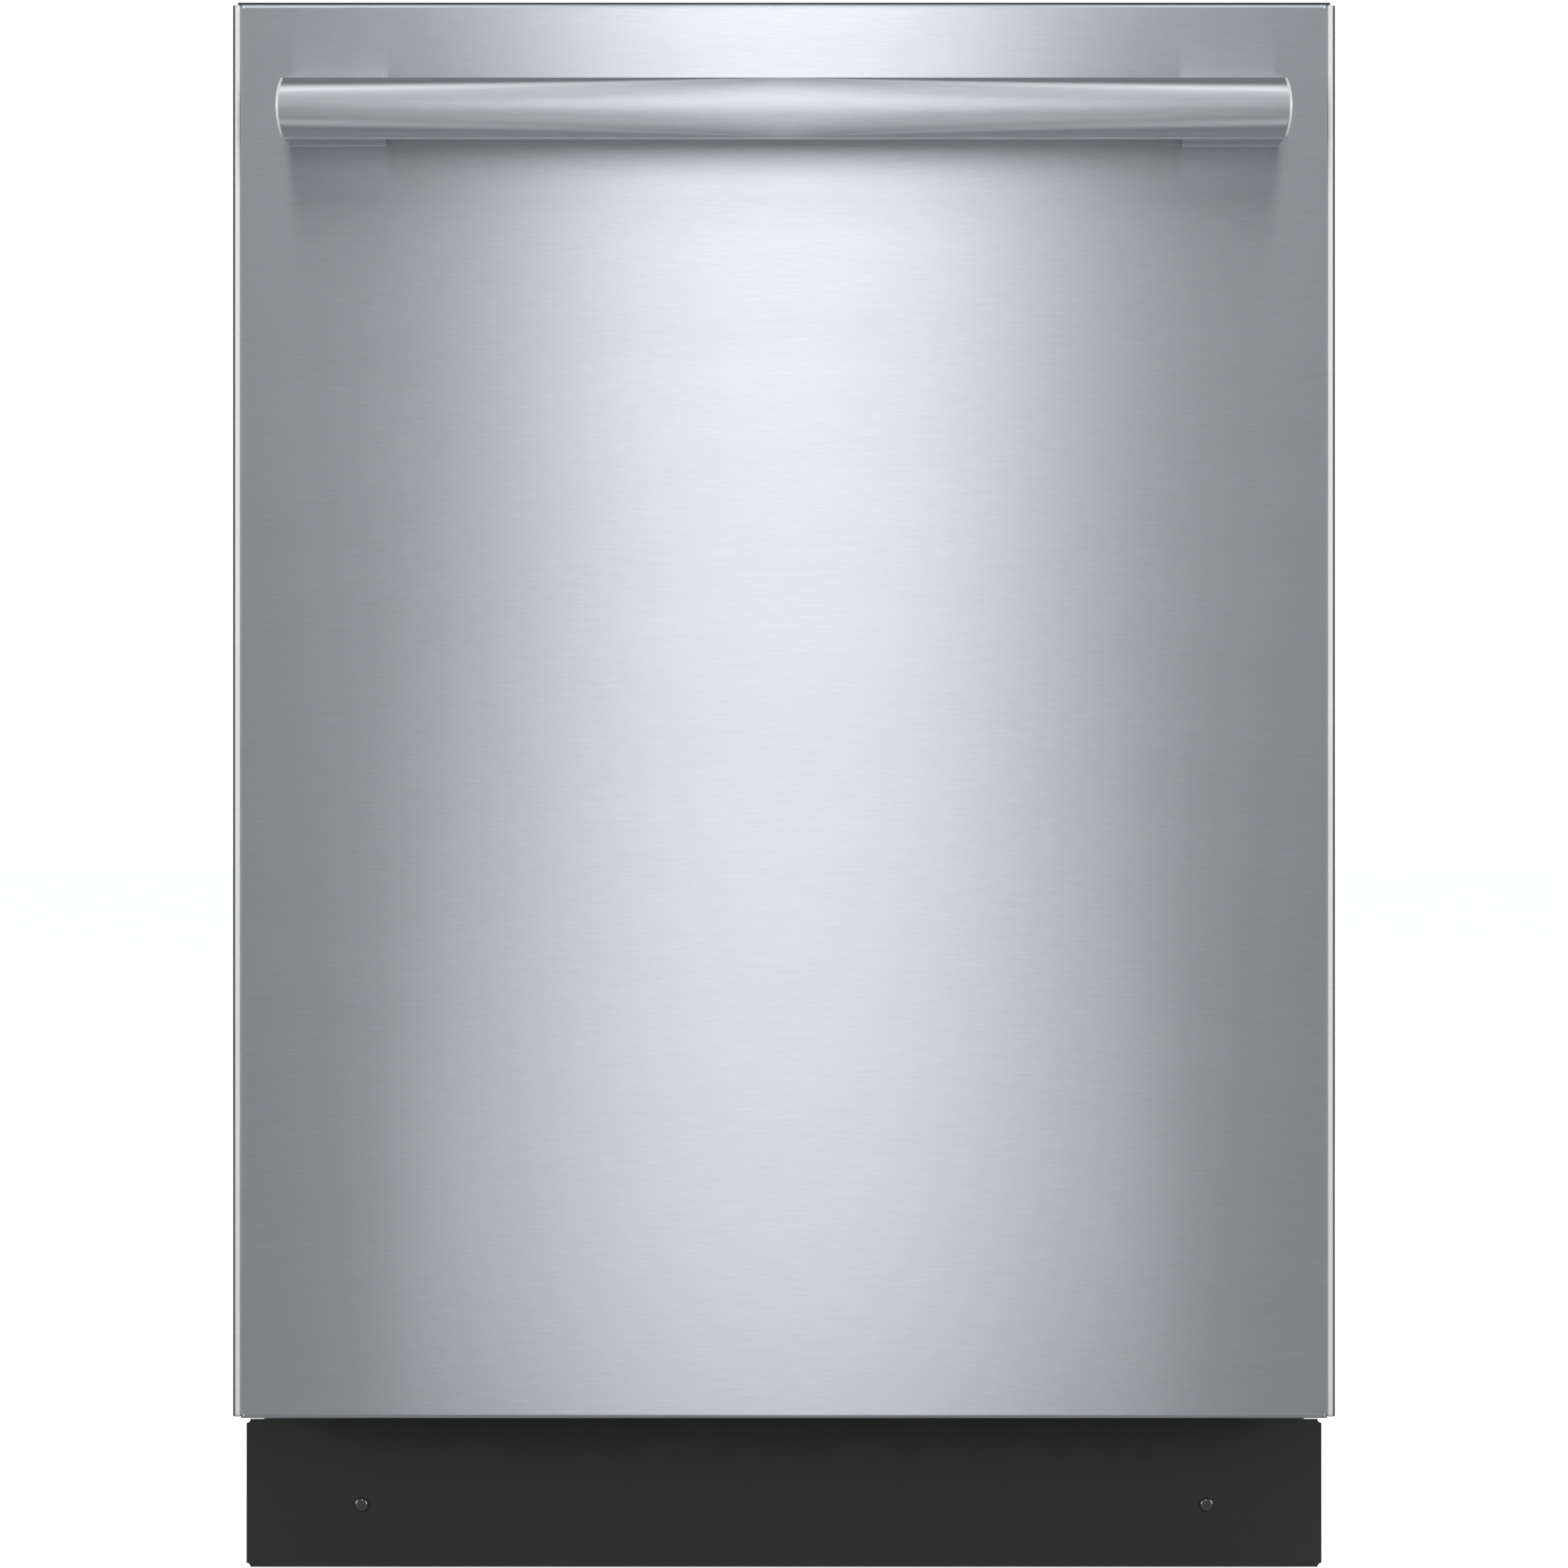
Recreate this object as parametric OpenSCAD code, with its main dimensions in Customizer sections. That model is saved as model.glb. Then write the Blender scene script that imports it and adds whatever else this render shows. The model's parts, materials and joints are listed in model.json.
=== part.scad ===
// Built-in dishwasher, door closed. Front faces -Y, +X is to the right, Z is up, the floor is z = 0.

/* [Body] */
// Width over the door's edge trims
body_w = 598.5; // [597:0.5:601]
// Height from the floor to the top of the buttons
body_h = 860; // [859:0.5:864]
// Depth from the door's front face to the back
body_d = 603; // [601:0.5:609]
// How far the handle stands out from the door
handle_reach = 52; // [50:1:58]

/* [Door] */
// Height of the door's lower edge above the floor
door_bottom = 90.5; // [88:0.5:92]
// Width of each bright edge trim
trim_w = 4.05; // [3.9:0.05:4.5]
// Sheet thickness of the door's outer skin
skin_t = 1; // [0.8:0.1:1.2]

/* [Handle] */
// Length of the handle bar
handle_l = 544; // [520:2:560]
// Height of the handle bar's section
handle_h = 32; // [30:1:34]
// Depth of the handle bar's section
handle_d = 20; // [18:1:22]
// Height of the handle's centre line
handle_z = 798; // [792:1:800]
// Width of each mounting post
post_w = 52; // [44:1:56]

/* [Racks] */
// Half width of the lower rack
lower_half = 238; // [236:0.5:238]
// Half width of the upper rack
upper_half = 250; // [248:0.5:250]
// Diameter of the rack wires
wire_d = 3.6; // [3.2:0.1:3.6]

/* [Toe kick] */
// Height of the toe kick panel
toe_h = 82; // [70:1:82]
// Setback of the toe kick behind the door's face
toe_back = 75; // [74:0.5:76]

/* [Hidden] */
$fn = 48;

fine = 96;
half_w = body_w / 2;
y_front = handle_reach - (body_d + handle_reach) / 2;
y_back = (body_d + handle_reach) / 2;

// Door depths, from the outer face to the raised inner field
y_edge = y_front + 20;
y_rim = y_front + 50;
y_field = y_front + 70;
panel_half = half_w - trim_w - 0.2;
panel_top = body_h - 1.4;
liner_half = 287;
field_half = 262;
liner_t = 1.2;
liner_bottom = 106;
liner_top = 850;
field_bottom = 150;
field_top = 812;
console_bottom = 806;
cap_t = 2.5;
console_top = body_h - 0.4;

// Door hinge axis, along X
hinge_y = y_front + 40;
hinge_z = 112;

// Radius of hinge pins, axles and shafts, of the arms' pins and of the feet's rods, and their play
pin_r = 4;
arm_pin = 7;
foot_rod = 5;
pin_gap = 0.06;

// Tub
tub_half = 275;
tub_t = 1.2;
tub_floor = 135;
tub_top = 828;
y_flange = y_front + 56.5;
y_tub_back = y_back - 35;
ledge_x = 236;
ledge_z = 142.5;
strike_z = liner_top + 1.2;
flange_half = 283;

// Base
base_half = 289;
base_y = y_front + 83;
base_end = y_back - 20;
base_floor = 22;
base_top = 126;
base_t = 2;
seam = 0.1;
toe_y = y_front + toe_back;
toe_t = 1.2;
toe_low = 1;
toe_half = half_w - 1.25;
screw_x = 234.3;
screw_z = 35.7;

// Centre of the spray arms and of the sump
arm_y = 48;
sump_y = -40;

// Racks
rack_y = y_front + 102;
lower_back = 270;
lower_z = 170;
lower_rim = 312;
upper_back = 262;
upper_z = 492;
upper_rim = 640;
wheel_r = 18;
wheel_z = ledge_z + 0.5 + wheel_r;
wheel_front_y = rack_y + 72;
wheel_rear_y = 190;
rail_z = 600;
tray_z = 748;
tray_rim = 786;
tine_y = 40;
tine_z = lower_z + 2 * wire_d + 4;
rack_bars_x = 12;
rack_bars_y = 11;

// Keys in the door's top edge, from left to right
button_x = [-250, -60, -30, 0, 250];
key_half = 11;
display_x = [60, 130];

// Levelling feet
foot_x = 260;
foot_ys = [-150, 285];

// Inlet valve, cable box, float, pumps and drain, seen from above
inlet_at = [-200, -150, 0];
cable_at = [207, -145, 0];
float_at = [-215, -165, 0];
pump_z = 84;
drain_x = -115;
drain_z = 60;

// ---------- shared shapes ----------

// Box given by two opposite corners
module span(a, b) {
    translate(a) cube([b[0] - a[0], b[1] - a[1], b[2] - a[2]]);
}

// Straight round bar from one point, along X, Y or Z
module bar_x(p, l, d) { translate(p) rotate([0, 90, 0]) cylinder(h = l, d = d, $fn = 24); }
module bar_y(p, l, d) { translate(p) rotate([-90, 0, 0]) cylinder(h = l, d = d, $fn = 24); }
module bar_z(p, l, d) { translate(p) cylinder(h = l, d = d, $fn = 24); }

// Rectangle with round corners, from two corners
module soft_rect(a, b, r) {
    w = b[0] - a[0];
    h = b[1] - a[1];
    translate(a) union() {
        translate([r, 0]) square([w - 2 * r, h]);
        translate([0, r]) square([w, h - 2 * r]);
        for (x = [r, w - r], y = [r, h - r]) translate([x, y]) circle(r, $fn = fine);
    }
}

// Extrudes a drawing in X-Z along +Y, starting at y
module along_y(y, l) { translate([0, y + l, 0]) rotate([90, 0, 0]) linear_extrude(l) children(); }

// Extrudes a drawing in Y-Z along +X, starting at x
module along_x(x, l) {
    translate([x, 0, 0]) rotate([90, 0, 90]) linear_extrude(l) children();
}

module both_sides() {
    children();
    mirror([1, 0, 0]) children();
}

// ---------- base ----------

// Welded tray: a pierced floor, four walls, a bush for each foot and two toe kick brackets
module base_pan() {
    floor_top = base_floor + base_t;
    wall_z = floor_top + seam;
    inner = base_half - base_t;
    cut = [0, 0, base_floor - 1];
    cut_h = base_t + 2;
    bush_h = 18;
    color("#9a9c9c") {
        difference() {
            span([-base_half, base_y, base_floor], [base_half, base_end, floor_top]);
            for (x = [-foot_x, foot_x], y = foot_ys)
                translate([x, y, 0] + cut) cylinder(h = cut_h, r = foot_rod + 2);
            translate(inlet_at + cut) cylinder(h = cut_h, r = 15);
            translate(cable_at + cut) cylinder(h = cut_h, r = 17);
        }
        both_sides() span([inner, base_y, wall_z], [base_half, base_end, base_top]);
        span([-inner + seam, base_y, wall_z], [inner - seam, base_y + base_t, base_top]);
        difference() {
            span([-inner + seam, base_end - base_t, wall_z], [inner - seam, base_end, base_top]);
            translate([drain_x, base_end - 3, drain_z]) rotate([-90, 0, 0]) cylinder(h = 5, r = 9.5);
        }
        for (x = [-foot_x, foot_x], y = foot_ys) difference() {
            translate([x, y, wall_z]) cylinder(h = bush_h, r = 11);
            translate([x, y, base_floor]) cylinder(h = bush_h + 6, r = foot_rod + pin_gap);
        }
        both_sides() span([222, toe_y, 18], [247, base_y - seam, 54]);
    }
}

module toe_kick() {
    notch = 2.2;
    color("#2b2b2b") along_y(toe_y - toe_t, toe_t) difference() {
        translate([-toe_half, toe_low]) square([2 * toe_half, toe_h]);
        for (x = [-toe_half, toe_half], z = [toe_low, toe_low + toe_h])
            translate([x, z]) circle(notch);
    }
}

module toe_kick_screws() {
    color("#141414") both_sides() difference() {
        translate([screw_x, toe_y - toe_t, screw_z]) rotate([90, 0, 0]) union() {
            cylinder(h = 1.4, r = 3.75);
            translate([0, 0, 1.4]) cylinder(h = 0.8, r1 = 3.75, r2 = 2.6);
        }
        for (turn = [0, 90]) translate([screw_x, toe_y - 3.4, screw_z]) rotate([0, turn, 0])
            cube([3.8, 2, 0.9], center = true);
    }
}

module foot(x, y) {
    translate([x, y, 0]) union() {
        cylinder(h = 4, r = 18);
        translate([0, 0, 4]) cylinder(h = 4, r1 = 18, r2 = 9);
        translate([0, 0, 8]) cylinder(h = 50, r = foot_rod);
        translate([0, 0, 13]) cylinder(h = 6, r = 9.5, $fn = 6);
    }
}

module front_feet() { color("#3c3c3c") both_sides() foot(foot_x, foot_ys[0]); }
module rear_feet() { color("#3c3c3c") both_sides() foot(foot_x, foot_ys[1]); }

module upright(y0, y1, open_front) {
    wall_y = open_front ? y1 - 1.5 : y0;
    union() {
        span([291.5, y0, base_top + 2], [293, y1, 846]);
        span([285.5, wall_y, base_top + 2], [292, wall_y + 1.5, 846]);
    }
}

module uprights() {
    color("#a7a9a9") both_sides() {
        upright(y_flange + 2, y_flange + 46, false);
        upright(y_tub_back - 40, y_tub_back + 4, true);
        span([285.5, y_flange + 2, 846.1], [293, y_tub_back + 4, 848]);
        span([285.5, y_flange + 12, base_top + 0.1], [293, y_tub_back + 4, base_top + 1.9]);
    }
}

module hinge_brackets() {
    color("#b4b6b6") both_sides() union() {
        along_x(291.5, 2) union() {
            translate([hinge_y, hinge_z]) circle(13);
            translate([hinge_y, hinge_z - 13]) square([85, 26]);
        }
        span([base_half, base_y + 8, hinge_z - 13], [292, hinge_y + 84, hinge_z + 13]);
        translate([287.4, hinge_y, hinge_z]) rotate([0, 90, 0]) cylinder(h = 5, r = pin_r);
    }
}

// Extension springs that balance the door, lying along the base
module door_springs() {
    color("#8d8f90") both_sides() union() {
        translate([294.2, -140, 62]) rotate([-90, 0, 0]) cylinder(h = 210, r = 4.6);
        translate([294.2, -150, 62]) rotate([-90, 0, 0]) cylinder(h = 230, r = 1.2);
        span([base_half, 70, 57], [296, 73, 67]);
        span([base_half, -147, 57], [296, -144, 67]);
    }
}

module countertop_brackets() {
    color("#b4b6b6") for (x = [-200, 200]) difference() {
        union() {
            span([x - 16, y_flange + 2, 841.2], [x + 16, y_flange + 38, 843]);
            span([x - 16, y_flange + 2, 838.9], [x + 16, y_flange + 3.8, 842]);
            span([x - 16, y_flange + 18, 843], [x + 16, y_flange + 19.8, 856]);
            span([x - 16, y_flange + 18, 854.2], [x + 16, y_flange + 46, 856]);
        }
        for (y = [28, 40]) translate([x, y_flange + y, 850]) cylinder(h = 9, r = 2.4);
    }
}

// ---------- tub ----------

module tub_section(grow) {
    soft_rect([-tub_half - grow, tub_floor - grow], [tub_half + grow, tub_top + grow], 25 + grow);
}

module tub() {
    color("#c3c6c8") difference() {
        union() {
            along_y(y_flange + 0.6, y_tub_back - y_flange + tub_t - 0.6) tub_section(tub_t);
            along_y(y_flange, tub_t)
                soft_rect([-flange_half, 129], [flange_half, 838], 12);
        }
        difference() {
            along_y(y_flange - 1, y_tub_back - y_flange + 1) tub_section(0);
            both_sides() span([ledge_x, y_flange - 2, tub_floor - 5],
                              [tub_half + 5, y_tub_back + 2, ledge_z]);
        }
        translate([0, sump_y, 125]) cylinder(h = 15, r = 69.3, $fn = fine);
        translate([0, arm_y, 125]) cylinder(h = 15, r = 13);
        translate(float_at + [0, 0, 125]) cylinder(h = 15, r = pin_r + pin_gap);
    }
}

// Soft seal round the sides and the top of the tub's mouth
module tub_gasket() {
    color("#565a5d") difference() {
        along_y(y_rim + 0.4, y_flange - y_rim - 0.4)
            soft_rect([-284, 130], [284, 842], 14);
        along_y(y_rim - 1, 10) soft_rect([-276.4, 60], [276.4, 831], 24);
        span([-290, y_rim - 1, 100], [290, y_flange + 1, 152]);
    }
}

module sound_blanket() {
    color("#5d5f60") difference() {
        along_y(y_flange + 14, y_tub_back - y_flange - 24)
            soft_rect([-284.5, 146], [284.5, 838], 32);
        along_y(y_flange, y_tub_back - y_flange + 20)
            soft_rect([-tub_half - tub_t - 0.3, 100],
                      [tub_half + tub_t + 0.3, tub_top + tub_t + 0.3], 26);
    }
}

module sump() {
    color("#77797b") translate([0, sump_y, 0]) difference() {
        union() {
            translate([0, 0, 62]) cylinder(h = 73.1, r = 69, $fn = fine);
            translate([0, 0, tub_floor + 0.05]) cylinder(h = 1.5, r = 74, $fn = fine);
            translate([60, 0, pump_z]) rotate([0, 90, 0]) cylinder(h = 26, r = 15);
            translate([-86, 0, pump_z]) rotate([0, 90, 0]) cylinder(h = 26, r = 12);
        }
        translate([0, 0, 65]) cylinder(h = 80, r = 66, $fn = fine);
        translate([50, 0, pump_z]) rotate([0, 90, 0]) cylinder(h = 40, r = 12);
        translate([-90, 0, pump_z]) rotate([0, 90, 0]) cylinder(h = 40, r = 9);
    }
}

module filter_plate() {
    color("#b9bcbe") translate([0, sump_y, tub_floor + 1.6]) difference() {
        cylinder(h = 1.4, r = 72, $fn = fine);
        translate([0, 0, -1]) cylinder(h = 4, r = 27.3);
    }
}

// Scrap filter: an open cup with three grips on its rim to twist it out by
module filter_cup() {
    color("#8b9094") translate([0, sump_y, 0]) union() {
        difference() {
            translate([0, 0, 72]) cylinder(h = 66, r = 27);
            translate([0, 0, 74]) cylinder(h = 80, r = 25);
            translate([0, 0, 60]) cylinder(h = 30, r = 20);
        }
        for (a = [0, 120, 240]) rotate([0, 0, a]) span([23.4, -3, 134], [26, 3, 144]);
    }
}

// Duct along the floor and up the back wall, with its arm bearings and docking port
module spray_feed() {
    color("#aeb3b7") union() {
        translate([0, arm_y, 112]) cylinder(h = 33, r = 12.4);
        translate([0, arm_y, 145]) cylinder(h = 11.5, r = arm_pin);
        bar_x([0, arm_y, 114], 119, 24);
        bar_y([108, sump_y + 75.1, 114], arm_y - sump_y - 75, 26);
        span([-15, arm_y, tub_floor + 0.05], [15, y_tub_back - 0.3, tub_floor + 8]);
        span([-15, y_tub_back - 12, tub_floor + 0.05], [15, y_tub_back - 0.3, 822]);
        bar_y([0, y_tub_back - 18, 474], 10, 22);
        span([-15, arm_y, 812], [15, y_tub_back - 0.3, 822]);
        translate([0, arm_y, 806]) cylinder(h = 16, r = 24);
    }
}

// ---------- water machinery in the base ----------

module wash_pump() {
    color("#6f7276") translate([0, sump_y, pump_z]) rotate([0, 90, 0]) difference() {
        union() {
            translate([0, 0, 86.1]) cylinder(h = 4, r = 20);
            translate([0, 0, 90]) cylinder(h = 36, r = 40, $fn = fine);
            translate([0, 0, 126]) cylinder(h = 84, r = 34, $fn = fine);
            translate([-30, 0, 108]) rotate([-90, 0, 0]) cylinder(h = 75, r = 12);
        }
        translate([0, 0, 94]) cylinder(h = 26, r = 35, $fn = fine);
        translate([0, 0, 80]) cylinder(h = 30, r = 12);
        translate([0, 0, 119]) cylinder(h = 12, r = pin_r + pin_gap);
        translate([-30, -10, 108]) rotate([-90, 0, 0]) cylinder(h = 90, r = 9);
    }
}

module impeller(x, r, h) {
    translate([x, sump_y, pump_z]) rotate([0, 90, 0]) union() {
        cylinder(h = 2.5, r = r);
        cylinder(h = h, r = pin_r);
        for (a = [0:60:300]) rotate([0, 0, a]) span([3, -1, -h], [r - 1, 1, 0.5]);
    }
}

module wash_impeller() { color("#c8ccce") impeller(114, 32, 12); }

module drain_pump() {
    color("#6f7276") translate([0, sump_y, pump_z]) rotate([0, -90, 0]) difference() {
        union() {
            translate([0, 0, 86.1]) cylinder(h = 4, r = 15);
            translate([0, 0, 90]) cylinder(h = 28, r = 26);
            translate([-24, -22, 118]) cube([48, 44, 46]);
            translate([-24, 0, 105]) rotate([-90, 0, 0]) cylinder(h = 40, r = 10);
        }
        translate([0, 0, 94]) cylinder(h = 20, r = 22);
        translate([0, 0, 80]) cylinder(h = 20, r = 9);
        translate([0, 0, 113]) cylinder(h = 9, r = pin_r + pin_gap);
        translate([-24, -10, 105]) rotate([-90, 0, 0]) cylinder(h = 60, r = 7);
    }
}

module drain_impeller() { color("#c8ccce") mirror([1, 0, 0]) impeller(108, 19, 9); }

// Drain hose inside the base, ending in the spigot at the back
module drain_line() {
    color("#4a4c4e") difference() {
        union() {
            bar_y([drain_x + 10, sump_y + 40.1, drain_z], 60, 20);
            span([-125, 58, 50], [-95, 78, 70]);
            bar_y([drain_x, 68, drain_z], y_back - 68, 18);
            translate([drain_x, base_end, drain_z]) rotate([-90, 0, 0]) cylinder(h = 2, r = 15);
        }
        bar_y([drain_x, 62, drain_z], y_back, 13);
    }
}

module inlet_valve() {
    color("#d8d9d6") translate(inlet_at) difference() {
        union() {
            span([-18, -16, 34], [18, 16, 62]);
            translate([0, 0, 62]) cylinder(h = 26, r = 14);
            translate([0, 0, 12]) cylinder(h = 22.5, r = 13);
            translate([0, 10, 48]) rotate([-90, 0, 0]) cylinder(h = 26, r = 8);
        }
        translate([0, 0, 11]) cylinder(h = 19, r = 8.5);
    }
}

module terminal_box() {
    color("#b9bbbb") translate(cable_at) difference() {
        union() {
            difference() {
                span([-30, -30, 36], [30, 30, 82]);
                span([-28, -28, 38], [28, 28, 80]);
            }
            translate([0, 0, 14]) cylinder(h = 24, r = 15);
        }
        translate([0, 0, 13]) cylinder(h = 30, r = 11.1);
    }
}

module float() {
    color("#e4e6e4") translate(float_at) union() {
        translate([0, 0, 118]) cylinder(h = 26, r = pin_r);
        translate([0, 0, 137]) cylinder(h = 14, r = 21);
        translate([0, 0, 151]) cylinder(h = 4, r1 = 21, r2 = 15);
    }
}

// Outer rails of the upper rack and of the cutlery tray, on the tub's side walls
module fixed_rails() {
    color("#b4b6b8") both_sides() {
        span([270.5, y_flange + 16, rail_z - 14], [tub_half - 0.05, y_tub_back - 12, rail_z + 14]);
        span([262, y_flange + 16, tray_z + 12], [tub_half - 0.05, y_tub_back - 12, tray_z + 14]);
        span([262, y_flange + 16, tray_z + 30], [tub_half - 0.05, y_tub_back - 12, tray_z + 32]);
    }
}

// Plate on the tub's mouth that the door's latch closes over
module latch_strike() {
    color("#c9cbcc") difference() {
        union() {
            span([-20, y_flange - 13, strike_z], [20, y_flange + 12, strike_z + 1.6]);
            span([-20, y_flange, 838], [20, y_flange + tub_t, strike_z + 1]);
        }
        span([-12, y_flange - 9, strike_z - 1], [12, y_flange - 3, strike_z + 3]);
    }
}

// ---------- door ----------

module door_panel() {
    color("#c9ced2") difference() {
        intersection() {
            translate([0, 0, door_bottom]) linear_extrude(panel_top - door_bottom)
                soft_rect([-panel_half, y_front], [panel_half, y_edge + 5], 2.2);
            along_x(-half_w, body_w) soft_rect([y_front, door_bottom], [y_edge + 5, panel_top], 2.2);
        }
        span([-panel_half + skin_t, y_front + skin_t, door_bottom + skin_t],
             [panel_half - skin_t, y_edge + 10, panel_top - skin_t]);
        span([-half_w, y_edge, door_bottom - 1], [half_w, y_edge + 10, body_h]);
        span([-half_w, y_front + 2.8, console_top - 1.8], [half_w, y_edge + 10, body_h]);
        span([-panel_half + skin_t, y_front + 2.8, console_top - 10],
             [panel_half - skin_t, y_edge + 10, body_h]);
        for (x = [-1, 1], dz = [-9, 9])
            translate([x * (handle_l / 2 - 4 - post_w / 2), y_front - 1, handle_z + dz])
                rotate([-90, 0, 0]) cylinder(h = 3, r = 2.6);
    }
}

module door_edge_trims() {
    x0 = half_w - trim_w;
    color("#e9ecee") both_sides() intersection() {
        translate([0, 0, door_bottom]) linear_extrude(panel_top - door_bottom) union() {
            translate([x0 + trim_w / 2, y_front + 1.6]) circle(trim_w / 2);
            translate([x0, y_front + 1.6]) square([trim_w, 19]);
        }
        along_y(y_front - 1, 30)
            soft_rect([x0, door_bottom + 0.8], [half_w, panel_top - 0.5], 1.9);
    }
}

module control_panel() {
    color("#161718") difference() {
        union() {
            span([-half_w + 2.5, y_front + 3, console_top - 1.2],
                 [half_w - 2.5, y_rim - 1.6, console_top]);
            span([-285, y_front + 3, console_bottom], [285, y_rim - 1.6, console_top - 1]);
        }
        span([-282.5, y_front + 14, console_bottom - 1], [282.5, y_rim - 4, console_top - 2.5]);
        for (x = button_x)
            span([x - key_half - 0.3, y_front + 20.7, console_top - 4],
                 [x + key_half + 0.3, y_front + 30.3, console_top + 1]);
        span([display_x[0], y_front + 18, console_top - 4],
             [display_x[1], y_front + 33, console_top + 1]);
        span([-26, y_rim - 13, console_top - 40], [26, y_rim, console_top + 1]);
    }
}

module display_window() {
    gap = 0.05;
    color("#0c1014") span([display_x[0] + gap, y_front + 18 + gap, console_top - 2.4],
                          [display_x[1] - gap, y_front + 33 - gap, console_top - 0.1]);
}

module button(i) {
    x = button_x[i];
    color("#2a2c2e") union() {
        span([x - key_half, y_front + 21, console_top - 3],
             [x + key_half, y_front + 30, body_h]);
        span([x - key_half - 3, y_front + 18, console_top - 4.6],
             [x + key_half + 3, y_front + 33, console_top - 2.9]);
    }
}

module button_power() { button(0); }
module button_auto() { button(1); }
module button_heavy() { button(2); }
module button_quick() { button(3); }
module button_start() { button(4); }

module door_liner() {
    color("#c3c6c8") difference() {
        union() {
            span([-liner_half, y_edge, liner_bottom], [liner_half, y_rim, liner_top]);
            along_y(y_rim - 1, y_field - y_rim + 1)
                soft_rect([-field_half, field_bottom], [field_half, field_top], 30);
        }
        span([-liner_half + liner_t, y_edge - 1, liner_bottom + liner_t],
             [liner_half - liner_t, y_rim - liner_t, liner_top + 1]);
        along_y(y_rim - 3, y_field - y_rim + 3 - liner_t)
            soft_rect([-field_half + liner_t, field_bottom + liner_t],
                      [field_half - liner_t, field_top - liner_t], 30 - liner_t);
        span([-92, y_field - 10, 432], [92, y_field + 5, 588]);
    }
}

module door_blanket() {
    color("#4a4b4c") span([-280, y_front + 1.3, 112], [280, y_front + 13, 770]);
}

// Section of the bar: a shallow arc in front, flat sides and a flat back
module handle_section(length) {
    sag = handle_d / 2;
    r = (handle_h * handle_h / 4 + sag * sag) / (2 * sag);
    along_x(-length / 2, length) intersection() {
        translate([y_front - handle_reach + r, handle_z]) circle(r, $fn = 180);
        translate([y_front - handle_reach - 1, handle_z - handle_h / 2])
            square([handle_d + 1, handle_h]);
    }
}

module handle_bar() { color("#d3d7da") handle_section(handle_l - 2 * cap_t); }

module handle_end_caps() {
    cap_r = 65;
    end = handle_l / 2;
    color("#eef0f1") intersection() {
        handle_section(handle_l);
        difference() {
            both_sides() translate([end - cap_r, y_front - handle_reach - 5, handle_z])
                rotate([-90, 0, 0]) cylinder(h = handle_d + 10, r = cap_r, $fn = 180);
            span([-end + cap_t, y_front - 100, handle_z - 100],
                 [end - cap_t, y_front, handle_z + 100]);
        }
    }
}

module handle_posts() {
    inner = handle_l / 2 - 4 - post_w;
    color("#c4c8cb") both_sides() difference() {
        translate([inner, 0, 0]) along_x(0, post_w)
            translate([y_front - handle_reach + handle_d, handle_z - 17])
                square([handle_reach - handle_d, 35.5]);
        for (dz = [-9, 9]) translate([inner + post_w / 2, y_front - 14, handle_z + dz])
            rotate([-90, 0, 0]) cylinder(h = 20, r = 2.1);
    }
}

module hinge_arms() {
    color("#a9abac") both_sides() difference() {
        union() {
            along_x(288, 3) union() {
                translate([hinge_y, hinge_z]) circle(12);
                translate([hinge_y - 12, hinge_z]) square([20, 190]);
            }
            for (z = [190, 270]) translate([liner_half, hinge_y - 2, z]) rotate([0, 90, 0])
                cylinder(h = 1.5, r = 6);
        }
        translate([280, hinge_y, hinge_z]) rotate([0, 90, 0])
            cylinder(h = 20, r = pin_r + pin_gap);
    }
}

// Sprung catch over the strike, pivoted in the top of the door
module door_latch() {
    color("#d0d2d3") union() {
        bar_x([-25.9, y_rim - 10, strike_z + 3.6], 51.8, 3.6);
        span([-9, y_rim - 11, strike_z + 2.2], [9, y_rim + 1.6, strike_z + 5]);
    }
}

// ---------- dispenser on the inner door ----------

module dispenser_body() {
    color("#b9bec2") difference() {
        union() {
            span([-90, y_field - 9, 434], [90, y_field + 5, 586]);
            along_y(y_field, 2) soft_rect([-98, 426], [98, 594], 12);
        }
        along_y(y_field - 6, 20) soft_rect([-78, 470], [-8, 560], 8);
        translate([52, y_field - 4, 540]) rotate([-90, 0, 0]) cylinder(h = 20, r = 20.06);
        translate([50, y_field - 6, 462]) rotate([-90, 0, 0]) cylinder(h = 20, r = 9.06);
    }
}

module detergent_lid() {
    color("#9fa5aa") union() {
        along_y(y_field + 5.2, 3) soft_rect([-86, 462], [-2, 568], 8);
        for (z = [480, 515, 550]) span([-60, y_field + 8, z - 1], [-28, y_field + 9.2, z + 1]);
    }
}

module rinse_cap() {
    color("#8f959a") translate([52, y_field - 3.9, 540]) rotate([-90, 0, 0]) union() {
        cylinder(h = 11, r = 20);
        translate([-16, -2.5, 11]) cube([32, 5, 4]);
    }
}

module release_button() {
    color("#4c86b8") translate([50, y_field - 1.5, 462]) rotate([-90, 0, 0])
        cylinder(h = 12, r = 9);
}

// ---------- racks ----------

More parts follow.
